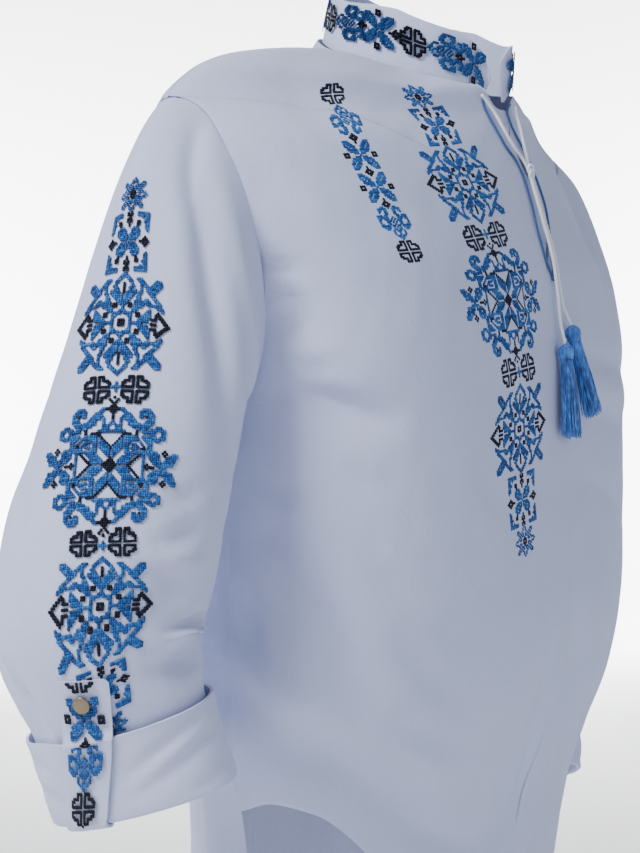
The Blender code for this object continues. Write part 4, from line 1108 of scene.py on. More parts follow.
def frames(points):
    """Directions along a path and two across it that don't twist."""
    ahead = unit(np.gradient(points, axis=0))
    across = np.zeros_like(ahead)
    guide = np.array([0.0, -1.0, 0.0])
    for number, run in enumerate(ahead):
        guide = unit(guide - run * guide.dot(run))
        across[number] = guide
    return ahead, across, np.cross(ahead, across)


PLY_DEPTH = 0.16  # depth of the grooves between a cord's plies, in parts of its radius


def round_cord(name, points, radius, finish, lobes=0, twist=0.0, around=12):
    """A cord along a path, twisted from a few plies, with closed ends."""
    _, across, beside = frames(points)
    run = lengths(points[:, None], 0)[:, 0]
    angle = np.linspace(0, 2 * math.pi, around + 1)
    depth = PLY_DEPTH if lobes else 0.0
    turned = angle[None, :] - run[:, None] * twist
    reach = radius * (1 - depth + depth * np.cos(lobes * turned))
    rings = points[:, None] + reach[..., None] * (
        np.cos(angle)[None, :, None] * across[:, None]
        + np.sin(angle)[None, :, None] * beside[:, None]
    )
    flat = np.stack([run[:, None] + 0 * reach, radius * angle[None, :] + 0 * reach], axis=-1)
    shape = bmesh.new()
    lay_grid(shape, rings, flat)
    close_up(shape)
    return finish_piece(name, shape, finish)


def spreader(template):
    """Geometry nodes that stand a small shape on every point, turned and stretched."""
    tree = bpy.data.node_groups.new("spread", "GeometryNodeTree")
    tree.interface.new_socket("Geometry", in_out="INPUT", socket_type="NodeSocketGeometry")
    tree.interface.new_socket("Geometry", in_out="OUTPUT", socket_type="NodeSocketGeometry")
    start, end = tree.nodes.new("NodeGroupInput"), tree.nodes.new("NodeGroupOutput")
    source = tree.nodes.new("GeometryNodeObjectInfo")
    source.inputs["Object"].default_value = template
    stand = tree.nodes.new("GeometryNodeInstanceOnPoints")
    real = tree.nodes.new("GeometryNodeRealizeInstances")
    links = tree.links
    links.new(start.outputs[0], stand.inputs["Points"])
    links.new(source.outputs["Geometry"], stand.inputs["Instance"])
    for key, kind, socket in (
        ("turned", "QUATERNION", "Rotation"), ("stretch", "FLOAT_VECTOR", "Scale")
    ):
        read = tree.nodes.new("GeometryNodeInputNamedAttribute")
        read.data_type = kind
        read.inputs["Name"].default_value = key
        links.new(read.outputs["Attribute"], stand.inputs[socket])
    links.new(stand.outputs[0], real.inputs[0])
    links.new(real.outputs[0], end.inputs[0])
    return tree


def spread(name, template, places, directions, stretch, dye, finish):
    """One joined mesh of a small shape repeated at places, each with its directions and size."""
    along, across, out = directions
    count = len(places)
    turns = np.stack([along, across, out], axis=-1)
    quaternions = [tuple(Matrix(turn).to_quaternion()) for turn in turns]
    mesh = bpy.data.meshes.new(name)
    mesh.vertices.add(count)
    mesh.vertices.foreach_set("co", places.ravel())
    for key, kind, field, values in (
        ("turned", "QUATERNION", "value", np.array(quaternions)),
        ("stretch", "FLOAT_VECTOR", "vector", stretch),
        ("dye", "FLOAT", "value", dye),
    ):
        layer = mesh.attributes.new(key, kind, "POINT")
        layer.data.foreach_set(field, np.ascontiguousarray(values, np.float32).ravel())
    piece = bpy.data.objects.new(name, mesh)
    bpy.context.scene.collection.objects.link(piece)
    tree = spreader(template)
    piece.modifiers.new("spread", "NODES").node_group = tree
    graph = bpy.context.evaluated_depsgraph_get()
    real = bpy.data.meshes.new_from_object(
        piece.evaluated_get(graph), preserve_all_data_layers=True, depsgraph=graph
    )
    piece.modifiers.clear()
    piece.data = real
    bpy.data.meshes.remove(mesh)
    bpy.data.node_groups.remove(tree)
    real.name = name
    real.materials.clear()
    real.materials.append(material(finish))
    real.shade_smooth()
    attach(piece, BODY_NAME)
    return piece


def small_shape(name, shape):
    """A template object made from a bmesh, for spread."""
    mesh = bpy.data.meshes.new(name)
    shape.to_mesh(mesh)
    shape.free()
    made = bpy.data.objects.new(name, mesh)
    bpy.context.scene.collection.objects.link(made)
    return made


def discard(template):
    """Removes a template once its copies are made."""
    mesh = template.data
    bpy.data.objects.remove(template)
    bpy.data.meshes.remove(mesh)


STRAND_LONG, STRAND_WIDE = 1.44, 0.88  # one strand of a cross, in parts of its cell
UPPER_RISE = 0.16  # how much higher the strand on top is


def cross_template():
    """Two low crossing strands over a cell of the counted cloth that is one unit each way."""
    shape = bmesh.new()
    for turn, rise in ((math.pi / 4, 0.0), (-math.pi / 4, UPPER_RISE)):
        made = bmesh.ops.create_cone(
            shape,
            cap_ends=True,
            segments=4,
            radius1=math.sqrt(0.5),
            radius2=0,
            depth=1,
            matrix=Matrix.Rotation(math.pi / 4, 4, "Z"),
        )
        verts = made["verts"]
        bmesh.ops.translate(shape, verts=verts, vec=(0, 0, 0.5))
        bmesh.ops.scale(shape, verts=verts, vec=(STRAND_LONG, STRAND_WIDE, 1 + rise))
        bmesh.ops.rotate(shape, verts=verts, matrix=Matrix.Rotation(turn, 3, "Z"))
    return small_shape("cross", shape)


def seam_template():
    """One short sunk stitch of sewing thread, one unit long."""
    shape = bmesh.new()
    bmesh.ops.create_uvsphere(shape, u_segments=6, v_segments=4, radius=0.5)
    bmesh.ops.rotate(shape, verts=shape.verts, matrix=Matrix.Rotation(math.pi / 2, 3, "Y"))
    return small_shape("stitch", shape)


# Cross-stitch charts. Each row runs outwards from the middle column, b is blue and k is black.
# The first group is mirrored both ways and its last row is the middle one.
SNOWFLAKE = (
    "b", "bb", ".bb", "..bb...bbb.......bbb", "...bb...bbb.....bbbb", "k...b....bbb...bb.bb",
    "k...bb...b.bb.bbbbb", "k..bb....b..bbb.bb", "k..b.bb..b..bbbbb", "k.bbbbb.bb...bbb",
    ".bbbbb..b.....bb", ".bbbb..bb......bb", ".bbb...bb..bb...bb", "bbb...bbbbbbbb...bb",
    "bb.kk.bbbbb.bbbbbbb", "b..kk.bbbb.......bbb", "b....bbb.....b.....b", "bb...bb.....bb...k",
    ".bbbb..kk..bbb..kkk", "...bb..kk.bbbb..k.kk", "....b....bbbb.kkk..kk", "kk..b...bbbbb.......kk",
    ".k..bbbbbb....kkk....kk",
)
ROSETTE = (
    "k", "kk", "kkkkbb........bbbb", "kk...bb......bb.bbb", "k.....bbb....bbbb.bb",
    "k....bbbbb...bb.k.bb", "k...b.bbbbb......bbb", "b...b...bbbb....bbbb", ".b..b...bbbbbb.bbbb",
    "..bbb.....bbbbbbbb...bbb", "..bbb.......bb.bb..bbb.bbb", "bbbbbbb.....k..bbbbbb...bb",
    "......kkkk..k......bb...bb", ".....k.bbbbbb..bbbbbbb.bbb", "....kb.bbbbbbb..bbbb.bbb",
    "...kbb.bbb....b..bbb", "..kbbb.bb.bbb..b..bb", ".kbbbb.bb...bb..k.bb",
    "kbbbbb.bb.bbb.bkk.bb......k", ".bbbb..bb.....bbbbb.bbb..k.k..bbb",
    ".bbb...bbbbbbbbbbb.bb.bb..k..bbbb", ".bb.....bbbb..k.b..bbbbb...bb.bb.",
    ".b....bbbbb..k..b..bb.bb...bbbbb.", "k....bbbbb..k...b...bbbbb.bbb.b..",
    "kk..bbbbbb.k....b....bb.b.bbbbb..", "kkk.bbbbb.k.....b.k....bbbbb",
    "kkkk.....k......bk.kkk...b",
)
TILE = (".kkk...", ".k.k...", ".k.kkk.", ".k...kk", ".k....k", ".kkkkkk", "")
BLOSSOM = ("...bbb.", "..bb.bb", "..bbbbb", ".bbb.bb", ".b.bbb.", ".bbbb..", "b")
LONG_FLOWER = (
    ".....bbb", "....bbbb", "...bbb.b", "..bbb.bb", "..bb.bb.", ".bbbbbb.", ".bbbbb..", ".bbb....",
    "b",
)
STAR = (
    "b", ".b", ".b...bb", "..b.b.b", ".b.b.b", ".bb.b", "k..b.b", "kk.bb.bb", ".k......b",
)
CORNERS = (
    ".k...bbbbbbb", "kk...bbbbbbb", "k.......b.bb", "kk........bb", ".k...kk..bbb", "k....kk...bb",
    "k....k....bb", "..........bb", "...........b", "", "", "..........k", ".........kkk",
    ".......kkk.kk",
)
RING = ("kk", ".k")
# The second group is mirrored across only, from its first row to its last.
BUD = (
    "...bb", "..bbbbb", "..bb.bb", "..bb..b", "..bb", "...bb.bbb", "b..bbbbbb", ".b.bbb.bb",
    "b.bbb...b", ".b.bb...b", "b..bb..bb", ".bb.bbbbb", "b.b.bbbb", ".bb..bb", "bb.b", "b..b",
    "b..b", ".bb", "bb", "b",
)
DIAMOND = ("k", "k", "kk", ".kk", "kk", "k")
CROSSLET = ("b", "b", "bbb", "b", "b")
STEPS = ("k", "..k", ".k")


def whole(rows, middle, across=0):
    """Cells of a motif mirrored both ways, centred on a row of the strip."""
    cells = set()
    for number, row in enumerate(rows):
        down = len(rows) - 1 - number
        for out, colour in enumerate(row):
            if colour == ".":
                continue
            for x in {out, -out}:
                for y in {down, -down}:
                    cells.add((x + across, middle + y, colour))
    return cells


def half(rows, first, step=1):
    """Cells of a motif mirrored across only, from its first row along the strip."""
    cells = set()
    for number, row in enumerate(rows):
        for out, colour in enumerate(row):
            if colour != ".":
                cells |= {(out, first + step * number, colour), (-out, first + step * number, colour)}
    return cells


def large_panel():
    """The wide strip of the sleeves and of the front: star, snowflakes, rosette and tiles."""
    cells = set()
    for middle in (8.5, 248.5):
        cells |= whole(STAR, middle)
    for middle in (30.5, 226.5):
        cells |= whole(CORNERS, middle) | whole(BLOSSOM, middle)
    for middle in (66.5, 190.5):
        cells |= whole(SNOWFLAKE, middle)
    cells |= whole(ROSETTE, 128.5)
    for middle, step in ((95.5, 1), (161.5, -1)):
        cells |= whole(TILE, middle, across=9) | whole(TILE, middle, across=-9)
        cells |= half(CROSSLET, middle - 3 * step, step) | half(STEPS, middle + 4 * step, step)
    return cells


def small_strip(parts):
    """A narrow strip from its parts: what each one is and the row of its middle."""
    cells = set()
    for kind, middle in parts:
        if kind == "tile":
            cells |= whole(TILE, middle)
        elif kind == "flower":
            cells |= whole(LONG_FLOWER, middle)
            for across in (-8, 8):
                cells |= whole(RING, middle, across=across)
        elif kind == "bud down":
            cells |= half(BUD, middle - 9.5)
        elif kind == "bud up":
            cells |= half(BUD, middle + 9.5, -1)
        elif kind == "stem down":
            cells |= half(DIAMOND, middle + 2.5, -1)
        else:
            cells |= half(DIAMOND, middle - 2.5)
    return cells


FRONT_BAND = (
    ("tile", 6.5), ("bud up", 23.5), ("stem down", 36), ("flower", 45.5), ("stem up", 55),
    ("flower", 64.5), ("stem up", 74), ("bud down", 85.5), ("tile", 102.5),
)
COLLAR_BAND = (
    ("flower", 8.8), ("stem up", 18.5), ("bud down", 26.5), ("tile", 43.5), ("stem down", 52.5),
    ("flower", 61.5), ("stem up", 71), ("bud down", 79.5), ("tile", 96.5), ("stem down", 105.5),
    ("flower", 114.5), ("stem up", 124), ("tile", 136),
)
TAB_BAND = (
    ("tile", -0.6), ("flower", 16.8), ("stem up", 27), ("bud down", 38.5), ("tile", 55.5),
    ("stem up", 65),
)

# Where the middles of the strips lie, against the number of the row: two coordinates on the
# cloth's surface, the width of a stitch on the low and the high side of the middle in
# millimetres, and how far a row falls in the second coordinate over one of the first. Bold is
# how much a stitch covers past its own cell.
FRONT_LINE = {
    "bold": 1.12,
    "row": (0.0, 8.5, 30.5, 66.5, 95.5, 128.5, 161.5, 190.5, 226.5, 248.5, 257.0),
    "turn": (
        0.3575, 0.3312, 0.2631, 0.1917, 0.1560, 0.1070, 0.0950, 0.1250, 0.1452, 0.1489, 0.1500,
    ),
    "z": (
        -0.0262, -0.0350, -0.0577, -0.0999, -0.1377, -0.1819, -0.2309, -0.2720, -0.3215, -0.3502,
        -0.3610,
    ),
    "low": (1.70, 1.70, 1.75, 2.05, 1.88, 1.45, 1.60, 1.80, 1.62, 1.60, 1.60),
    "high": (1.60, 1.60, 1.62, 2.00, 1.85, 1.78, 1.58, 1.68, 1.45, 1.45, 1.45),
    "rise": (0.070, 0.070, 0.070, 0.042, 0.058, 0.034, 0.064, 0.060, 0.068, 0.070, 0.070),
}
BAND_LINE = {
    "bold": 1.1,
    "row": (0.0, 6.5, 23.5, 45.5, 64.5, 85.5, 102.5, 109.0),
    "turn": (0.538, 0.525, 0.492, 0.468, 0.449, 0.426, 0.409, 0.403),
    "z": (-0.0350, -0.0430, -0.0620, -0.0880, -0.1100, -0.1340, -0.1530, -0.1600),
    "low": (1.50,) * 8,
    "high": (1.50,) * 8,
    "rise": (0.050, 0.050, 0.045, 0.040, 0.036, 0.032, 0.030, 0.030),
}
SLEEVE_LINE = {
    "row": (0.0, 8.5, 30.5, 66.5, 95.5, 128.5, 161.5, 190.5, 213.0, 226.5, 257.0),
    "around": (
        0.0025, 0.0021, 0.0030, 0.0100, 0.0325, 0.0574, 0.0735, 0.0837, 0.0805, 0.0772, 0.0700,
    ),
    "along": (
        0.1440, 0.1664, 0.2246, 0.3224, 0.4153, 0.5370, 0.6305, 0.7052, 0.7735, 0.8010, 0.8760,
    ),
    "low": (1.50, 1.50, 1.54, 1.80, 1.56, 1.49, 1.42, 1.54, 1.50, 1.50, 1.50),
    "high": (1.20, 1.20, 1.22, 1.52, 1.42, 1.32, 1.35, 1.50, 1.45, 1.45, 1.45),
    "rise": (0.060, 0.060, 0.060, 0.050, 0.145, 0.150, 0.185, 0.145, 0.145, 0.145, 0.145),
}
COLLAR_LINE = {
    "row": (0.0, 8.8, 18.5, 27.0, 43.5, 52.5, 61.5, 71.0, 80.0, 96.5, 114.5, 136.0, 143.0),
    "up": (0.44, 0.46, 0.49, 0.53, 0.543, 0.555, 0.585, 0.61, 0.61, 0.58, 0.53, 0.50, 0.50),
    "around": (
        0.0106, 0.0326, 0.0575, 0.0850, 0.1423, 0.1750, 0.2080, 0.2400, 0.2760, 0.3430, 0.4160,
        0.5000, 0.5270,
    ),
    "low": (1.52,) * 13,
    "high": (1.52,) * 13,
    "rise": (0.0,) * 13,
}
TAB_LINE = {
    "row": (0.0, 5.9, 16.8, 27.0, 38.0, 48.0, 55.5, 64.0, 70.0),
    "across": (0.0,) * 9,
    "up": (0.0965, 0.0880, 0.0728, 0.0595, 0.0412, 0.0250, 0.0132, 0.0005, -0.0080),
    "low": (1.45,) * 9,
    "high": (1.45,) * 9,
    "rise": (0.0,) * 9,
}
CROSS_HEIGHT = 0.42 * MM
HALF_ROW = 40  # places measured on each side of a row's middle
CROSS_SINK = 0.06 * MM  # how far a stitch sits into the cloth
CROSS_STRAY = 0.035 * MM  # how unevenly stitches stand along a row


def counted(cells, colour, surface, line, span, flip, seed):
    """Places and directions of the stitches of one colour of a strip on a cloth surface.

    The surface takes (a, b); a row runs along a by its own length on the cloth, from where
    the line puts the strip's middle.
    """
    chosen = np.array(sorted((y, x) for x, y, c in cells if c == colour), float)
    rows, where = np.unique(chosen[:, 0], return_inverse=True)
    first, second = [key for key in line if key not in ("row", "low", "high", "rise", "bold")]
    a0, b0 = between(line, "row", first, rows), between(line, "row", second, rows)
    rise = between(line, "row", "rise", rows)
    ends = [
        surface(between(line, "row", first, rows + way), between(line, "row", second, rows + way))
        for way in (0.5, -0.5)
    ]
    tall = np.linalg.norm(ends[0] - ends[1], axis=-1)[where]
    reach = np.linspace(-span, span, 2 * HALF_ROW + 1)
    run = lengths(surface(a0[:, None] + reach, b0[:, None] - reach * rise[:, None]), 1, HALF_ROW)
    wide = np.where(
        chosen[:, 1] < 0,
        between(line, "row", "low", rows)[where],
        between(line, "row", "high", rows)[where],
    ) * MM
    wanted = chosen[:, 1] * wide
    offset = np.array([np.interp(far, run[row], reach) for far, row in zip(wanted, where)])
    rise = rise[where]
    a, b = a0[where] + offset, b0[where] - offset * rise
    step = span * 4e-3
    places = surface(a, b)
    along = surface(a + step, b - step * rise) - surface(a - step, b + step * rise)
    down = surface(a, b + step) - surface(a, b - step)
    out = unit(np.cross(along, down) * flip)
    along = unit(along)
    chance = np.random.default_rng(seed)
    bold = line.get("bold", 1.0)
    size = np.stack([wide * bold, tall * bold, np.full_like(wide, CROSS_HEIGHT)], axis=-1)
    size = size * chance.uniform(0.95, 1.07, size.shape)
    places = places - out * CROSS_SINK
    places = places + along * chance.normal(0, CROSS_STRAY, (len(a), 1))
    tone = 0.55 * chance.random(len(a)) + 0.45 * chance.random(len(rows))[where]
    return places, (along, np.cross(out, along), out), size, tone


def embroider(name, cells, surface, line, span, flip, seed):
    """A strip of cross stitch as two meshes, its blue stitches and its black ones."""
    template = cross_template()
    made = []
    for colour, word, finish in (("b", "blue", "blue_cotton"), ("k", "black", "black_cotton")):
        places, directions, size, tone = counted(cells, colour, surface, line, span, flip, seed)
        made.append(
            spread(f"{name}_{word}", template, places, directions, size, tone, finish)
        )
    discard(template)
    return made


# Sewing


def grid_out(points, flip):
    """Directions out of a grid of points."""
    return unit(np.cross(np.gradient(points, axis=1), np.gradient(points, axis=0)) * flip)


STITCH_PITCH, STITCH_LENGTH, STITCH_WIDTH = 3.0 * MM, 2.3 * MM, 0.42 * MM


def seam_line(points, out, wall):
    """Even stitches along one line of points."""
    points = points + out * wall
    run = lengths(points[:, None], 0)[:, 0]
    at = np.arange(STITCH_PITCH, run[-1] - STITCH_PITCH / 2, STITCH_PITCH)
    place = at_lengths(at, run, points)
    along = unit(at_lengths(at + 0.5 * MM, run, points) - place)
    up = at_lengths(at, run, out)
    up = unit(up - along * (up * along).sum(axis=1, keepdims=True))
    return place, along, np.cross(up, along), up


def sew(name, lines):
    """All the seam stitches of a piece as one mesh."""
    template = seam_template()
    place, along, beside, up = (np.concatenate(part) for part in zip(*lines))
    chance = np.random.default_rng(len(place))
    size = np.tile([STITCH_LENGTH, STITCH_WIDTH, STITCH_WIDTH * 0.8], (len(place), 1))
    size = size * chance.uniform(0.9, 1.1, size.shape)
    piece = spread(
        name, template, place, (along, beside, up), size, chance.random(len(place)),
        "white_cotton",
    )
    discard(template)
    return piece


# Pieces


def make_panel(front):
    """The front or the back: two halves in one sheet, with its hem sewn."""
    sides = (RIGHT, LEFT) if front else (LEFT, RIGHT)
    halves = [panel(front, side) for side in sides]
    for points in halves:
        draw_in(points, "last_row")
    name = "front_cloth" if front else "back_cloth"
    piece = cloth(name, mirrored_pair(halves), SHELL)
    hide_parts("front" if front else "back")
    lines = []
    for points, side in zip(halves, sides):
        out = grid_out(points, side if front else -side)
        lines.append(seam_line(points[3], out[3], SHELL))
    sew(name + "_stitching", lines)
    return piece


HEAD_TUCK = 1.6 * MM  # how far the sleeve's head runs on under the body's edge


def make_sleeve(side):
    """A sleeve whose head runs on under the body's edge."""
    around, along = np.meshgrid(
        np.linspace(0, 1, SLEEVE_COLUMNS + 1), np.linspace(1, 0, SLEEVE_ROWS + 1)
    )
    points = sleeve_cloth(side, around, along)
    draw_in(points, "last_row", -HEAD_TUCK)
    points, flat = facing(side, points, SLEEVE_COLUMNS // 2)
    piece = cloth(named("sleeve_cloth", side), [(points, flat)], SHELL)
    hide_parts(named("sleeve", side))
    out = grid_out(points, 1)
    sew(named("sleeve_stitching", side), [seam_line(points[-3], out[-3], SHELL)])
    return piece


CUFF_ROLL = 2.25 * MM  # radius of the fold's inside
CUFF_WALL = 2.0 * MM
ROLL_UP = 0.045  # where the roll starts, in parts of the cuff's height
ROLL_MIDDLE = 0.65 * MM  # lift of the roll's centre off the sleeve


def rolled(side, around, radius, turns):
    """Points round the fold under the cuff, from inside the sleeve to its outside."""
    top = cuff_place(side, around, np.full_like(around, 0.12))
    low = cuff_place(side, around, np.full_like(around, ROLL_UP))
    lift = ROLL_MIDDLE - radius * np.cos(turns) - cuff_stand(ROLL_UP)
    base = cuff_place(side, around, np.full_like(around, ROLL_UP), lift)
    return base + unit(low - top) * (radius * np.sin(turns))[..., None]


def inside_sleeve(side, around, heights, radius):
    """Points of the cloth that goes on inside the sleeve from the fold under the cuff."""
    around, up = np.meshgrid(around, np.array(heights))
    return cuff_place(side, around, up, ROLL_MIDDLE - radius - cuff_stand(up))


def make_cuff(side):
    """A turned-back cuff: inside the sleeve, round the fold and up outside."""
    around = np.linspace(0, 1, SLEEVE_COLUMNS + 1)
    around_roll, turns = np.meshgrid(around, np.linspace(0, math.pi, 9))
    around_out, up_out = np.meshgrid(around, np.linspace(0.10, 1.0, 26))
    points = np.concatenate([
        inside_sleeve(side, around, (0.42, 0.30, 0.18, 0.09), CUFF_ROLL),
        rolled(side, around_roll, CUFF_ROLL, turns),
        cuff_cloth(side, around_out, up_out),
    ])
    points, flat = facing(side, points, SLEEVE_COLUMNS // 2)
    piece = cloth(named("cuff_cloth", side), [(points, flat)], CUFF_WALL, edge=0.5 * MM)
    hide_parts(named("cuff", side))
    out = grid_out(points, 1)
    lines = [seam_line(points[row], out[row], CUFF_WALL) for row in (-3, -22)]
    sew(named("cuff_stitching", side), lines)
    return piece


TAB_WALL = 1.8 * MM
TAB_CORNER = 2.6 * MM
TAB_LENGTH = CUFF_HEIGHT + TAB_ABOVE_CUFF


def make_tab(side):
    """A roll-up tab: from inside the sleeve round the cuff's fold to its rounded end above."""
    across = np.linspace(-TAB_WIDTH / 2, TAB_WIDTH / 2, 19)
    ways, rise = np.meshgrid(across, np.linspace(0, 1, 56))
    short = np.clip(np.abs(ways) - TAB_WIDTH / 2 + TAB_CORNER, 0, TAB_CORNER)
    longest = TAB_LENGTH - TAB_CORNER + np.sqrt(TAB_CORNER**2 - short**2)
    low = 0.10 * CUFF_HEIGHT
    around = between(TAB_PATH, "up", "around", 0.0) + across / CUFF_GIRTH
    radius = CUFF_ROLL + CUFF_WALL + 2.2 * FREE
    around_roll, turns = np.meshgrid(around, np.linspace(0, math.pi, 9))
    points = np.concatenate([
        inside_sleeve(side, around, (0.70, 0.50, 0.30, 0.12), radius),
        rolled(side, around_roll, radius, turns),
        tab_points(side, ways, low + (longest - low) * rise, FREE),
    ])
    points, flat = facing(side, points, 9)
    piece = cloth(named("tab_cloth", side), [(points, flat)], TAB_WALL, edge=0.4 * MM)
    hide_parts(named("tab", side))
    out = grid_out(points, 1)
    lines = [seam_line(points[14:-1, column], out[14:-1, column], TAB_WALL) for column in (1, -2)]
    lines.append(seam_line(points[-2, 2:-2], out[-2, 2:-2], TAB_WALL))
    sew(named("tab_stitching", side), lines)
    return piece


def make_snap(side):
    """A turned cap with a rolled rim, seated on the tab."""
    at = np.array([[0.0, 2 * MM, 0.0]])
    up = TAB_LENGTH - SNAP_FROM_END + np.array([[0.0, 0.0, 2 * MM]])
    base, beside, above = tab_points(side, at, up, FREE + TAB_CLOTH)[0]
    normal = unit(np.cross(beside - base, above - base))
    if np.dot(normal, [side, -0.3, 0]) < 0:
        normal = -normal
    profile = (
        (0.0, 0.96), (0.35, 0.93), (0.62, 0.84), (0.78, 0.70), (0.84, 0.66), (0.90, 0.72),
        (0.97, 0.62), (1.0, 0.42), (1.0, 0.12), (0.96, 0.0), (0.0, 0.0),
    )
    shape = bmesh.new()
    verts = [
        shape.verts.new((reach * SNAP_RADIUS, 0, height * (SNAP_HEIGHT + FREE)))
        for reach, height in profile
    ]
    edges = [shape.edges.new(pair) for pair in zip(verts, verts[1:])]
    bmesh.ops.spin(
        shape, geom=verts + edges, cent=(0, 0, 0), axis=(0, 0, 1), angle=2 * math.pi, steps=40,
        use_merge=True, use_duplicate=False,
    )
    bmesh.ops.remove_doubles(shape, verts=shape.verts, dist=1e-6)
    bmesh.ops.recalc_face_normals(shape, faces=shape.faces)
    turned = Vector(normal).to_track_quat("Z", "Y").to_matrix().to_4x4()
    place = Matrix.Translation(Vector(base + normal * 0.1 * MM)) @ turned
    bmesh.ops.transform(shape, verts=shape.verts, matrix=place)
    piece = finish_piece(named("snap_cap", side), shape, "aged_brass")
    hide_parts(named("snap", side))
    return piece


COLLAR_WALL = 2.0 * MM


def collar_face(up, around):
    """Outside of the collar, for its embroidery."""
    inside = collar_points(around, up)
    return inside + unit(inside * np.array([1.0, 1.0, 0.0])) * COLLAR_WALL


def make_collar():
    """The stand collar, open in front, sewn along all its edges."""
    ends = np.array([0.0, 0.002, 0.005, 0.009, 0.014, 0.021])
    around = np.concatenate([ends, np.linspace(0.03, 0.97, 150), 1 - ends[::-1]])
    around, up = np.meshgrid(around, np.linspace(0, 1, 17))
    points = collar_points(around, up)
    piece = cloth("collar_cloth", [(points, flat_map(points, 80))], COLLAR_WALL, edge=0.6 * MM)
    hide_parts("collar")
    out = grid_out(points, 1)
    lines = [seam_line(points[row], out[row], COLLAR_WALL) for row in (1, -2)]
    lines += [seam_line(points[1:-1, column], out[1:-1, column], COLLAR_WALL) for column in (2, -3)]
    sew("collar_stitching", lines)
    return piece


def make_binding():
    """Blue piping down the right edge of the slit and up the left, with its sewn foot."""
    down = np.linspace(NECK_FRONT - 2 * MM, SLIT_FOOT + 3 * MM, 60)
    lift = np.full_like(down, CLOTH + FREE + BINDING_RADIUS)
    right = chest(-piping_edge(RIGHT, down), down, lift)
    left = chest(piping_edge(LEFT, down), down, lift)[::-1]
    turn = np.linspace(-1, 1, 9)
    foot = chest(
        1.4 * MM * np.sin(turn * math.pi / 2),
        SLIT_FOOT + 1.2 * MM - 1.4 * MM * np.cos(turn * math.pi / 2),
        lift[:9],
    )
    points = through(np.concatenate([right, foot, left]), 260)
    piece = round_cord("slit_piping", points, BINDING_RADIUS, "blue_piping", around=10)
    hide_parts("slit_binding")
    return piece


def make_knot():
    """The two cords tied once round each other."""
    centre = chest_point((0.0, KNOT_HEIGHT, 0.0059))
    turn = np.linspace(0, 2 * math.pi, 90, endpoint=False)
    reach = 2.9 * MM + 1.5 * MM * np.cos(3 * turn)
    knot = np.stack(
        [reach * np.cos(2 * turn), 0.9 * MM * np.sin(3 * turn), 1.15 * reach * np.sin(2 * turn)],
        axis=-1,
    )
    points = np.concatenate([knot, knot[:1]]) + centre + np.array([0, -1.0 * MM, 0])
    piece = round_cord("tie_knot_loops", points, 1.25 * MM, "white_cord", 3, 900.0)
    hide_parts("tie_knot")
    return piece


STRANDS = 130
STRAND_RADIUS = 0.36 * MM
STRAND_STEPS = 11  # straight parts of one loose strand
HEAD_RIDGES = 40
RIDGE_DEPTH = 0.22 * MM
# The head's radius up from the tassel's neck, both in parts of its own size.
HEAD_PROFILE = {
    "up": (0.0, 0.14, 0.26, 0.5, 0.72, 0.9, 1.0),
    "wide": (0.70, 0.80, 0.97, 1.0, 0.88, 0.55, 0.24),
}
BINDING_TURNS = 5
BINDING_THREAD = 0.42 * MM  # radius of the thread that binds the neck


def tassel_strands(length, chance):
    """Loose strands that hang from the neck and spread, as one mesh."""
    curve = bpy.data.curves.new("strands", "CURVE")
    curve.dimensions = "3D"
    curve.bevel_depth = STRAND_RADIUS
    curve.bevel_resolution = 1
    curve.use_fill_caps = True
    golden = math.pi * (3 - math.sqrt(5))
    for number in range(STRANDS):
        out = math.sqrt((number + 0.5) / STRANDS)
        angle = number * golden
        x, y = out * math.cos(angle), out * math.sin(angle)
        reach = length * chance.uniform(0.93, 1.03)
        bend = chance.normal(0, 0.9 * MM, 2)
        phase = chance.uniform(0, 2 * math.pi)
        line = curve.splines.new("POLY")
        line.points.add(STRAND_STEPS)
        for step, knot in enumerate(line.points):
            part = step / STRAND_STEPS
            wide = TASSEL_HEAD_RADIUS * (0.74 + 1.25 * part**0.8)
            deep = TASSEL_HEAD_RADIUS * (0.74 + 0.26 * part)
            sway = 0.6 * MM * math.sin(phase + 8 * part) * part
            knot.co = (
                x * wide + bend[0] * part * part + sway,
                y * deep + bend[1] * part * part * 0.6 - sway * 0.5,
                1.2 * MM - reach * part,
                1.0,
            )
    strands = bpy.data.objects.new("strands", curve)
    mesh = bpy.data.meshes.new_from_object(strands)
    bpy.data.objects.remove(strands)
    bpy.data.curves.remove(curve)
    return mesh


def tassel_head(shape):
    """Thread wound up and over, in ridges that run from the neck to the cord."""
    full = 2 * math.pi
    turns, rows = np.meshgrid(
        np.linspace(0, full, 4 * HEAD_RIDGES + 1), np.linspace(0, 1, 19)
    )
    swell = np.sin(math.pi * np.clip(rows, 0.05, 0.95))
    wide = between(HEAD_PROFILE, "up", "wide", rows) * TASSEL_HEAD_RADIUS
    wide = wide + RIDGE_DEPTH * np.cos(HEAD_RIDGES * turns) * swell
    grid = np.stack([wide * np.cos(turns), wide * np.sin(turns), rows * TASSEL_HEAD], axis=-1)
    lay_grid(shape, grid, flat_map(grid))


def tassel_binding(shape):
    """Turns of thread round the neck."""
    full = 2 * math.pi
    angle, round_it = np.meshgrid(np.linspace(0, full, 33), np.linspace(0, full, 9))
    reach = TASSEL_HEAD_RADIUS * 0.84 + BINDING_THREAD * np.cos(round_it)
    for turn in range(BINDING_TURNS):
        height = (turn * 0.78 - 0.4) * MM + BINDING_THREAD * np.sin(round_it)
        grid = np.stack([reach * np.cos(angle), reach * np.sin(angle), height], axis=-1)
        lay_grid(shape, grid[::-1], flat_map(grid))


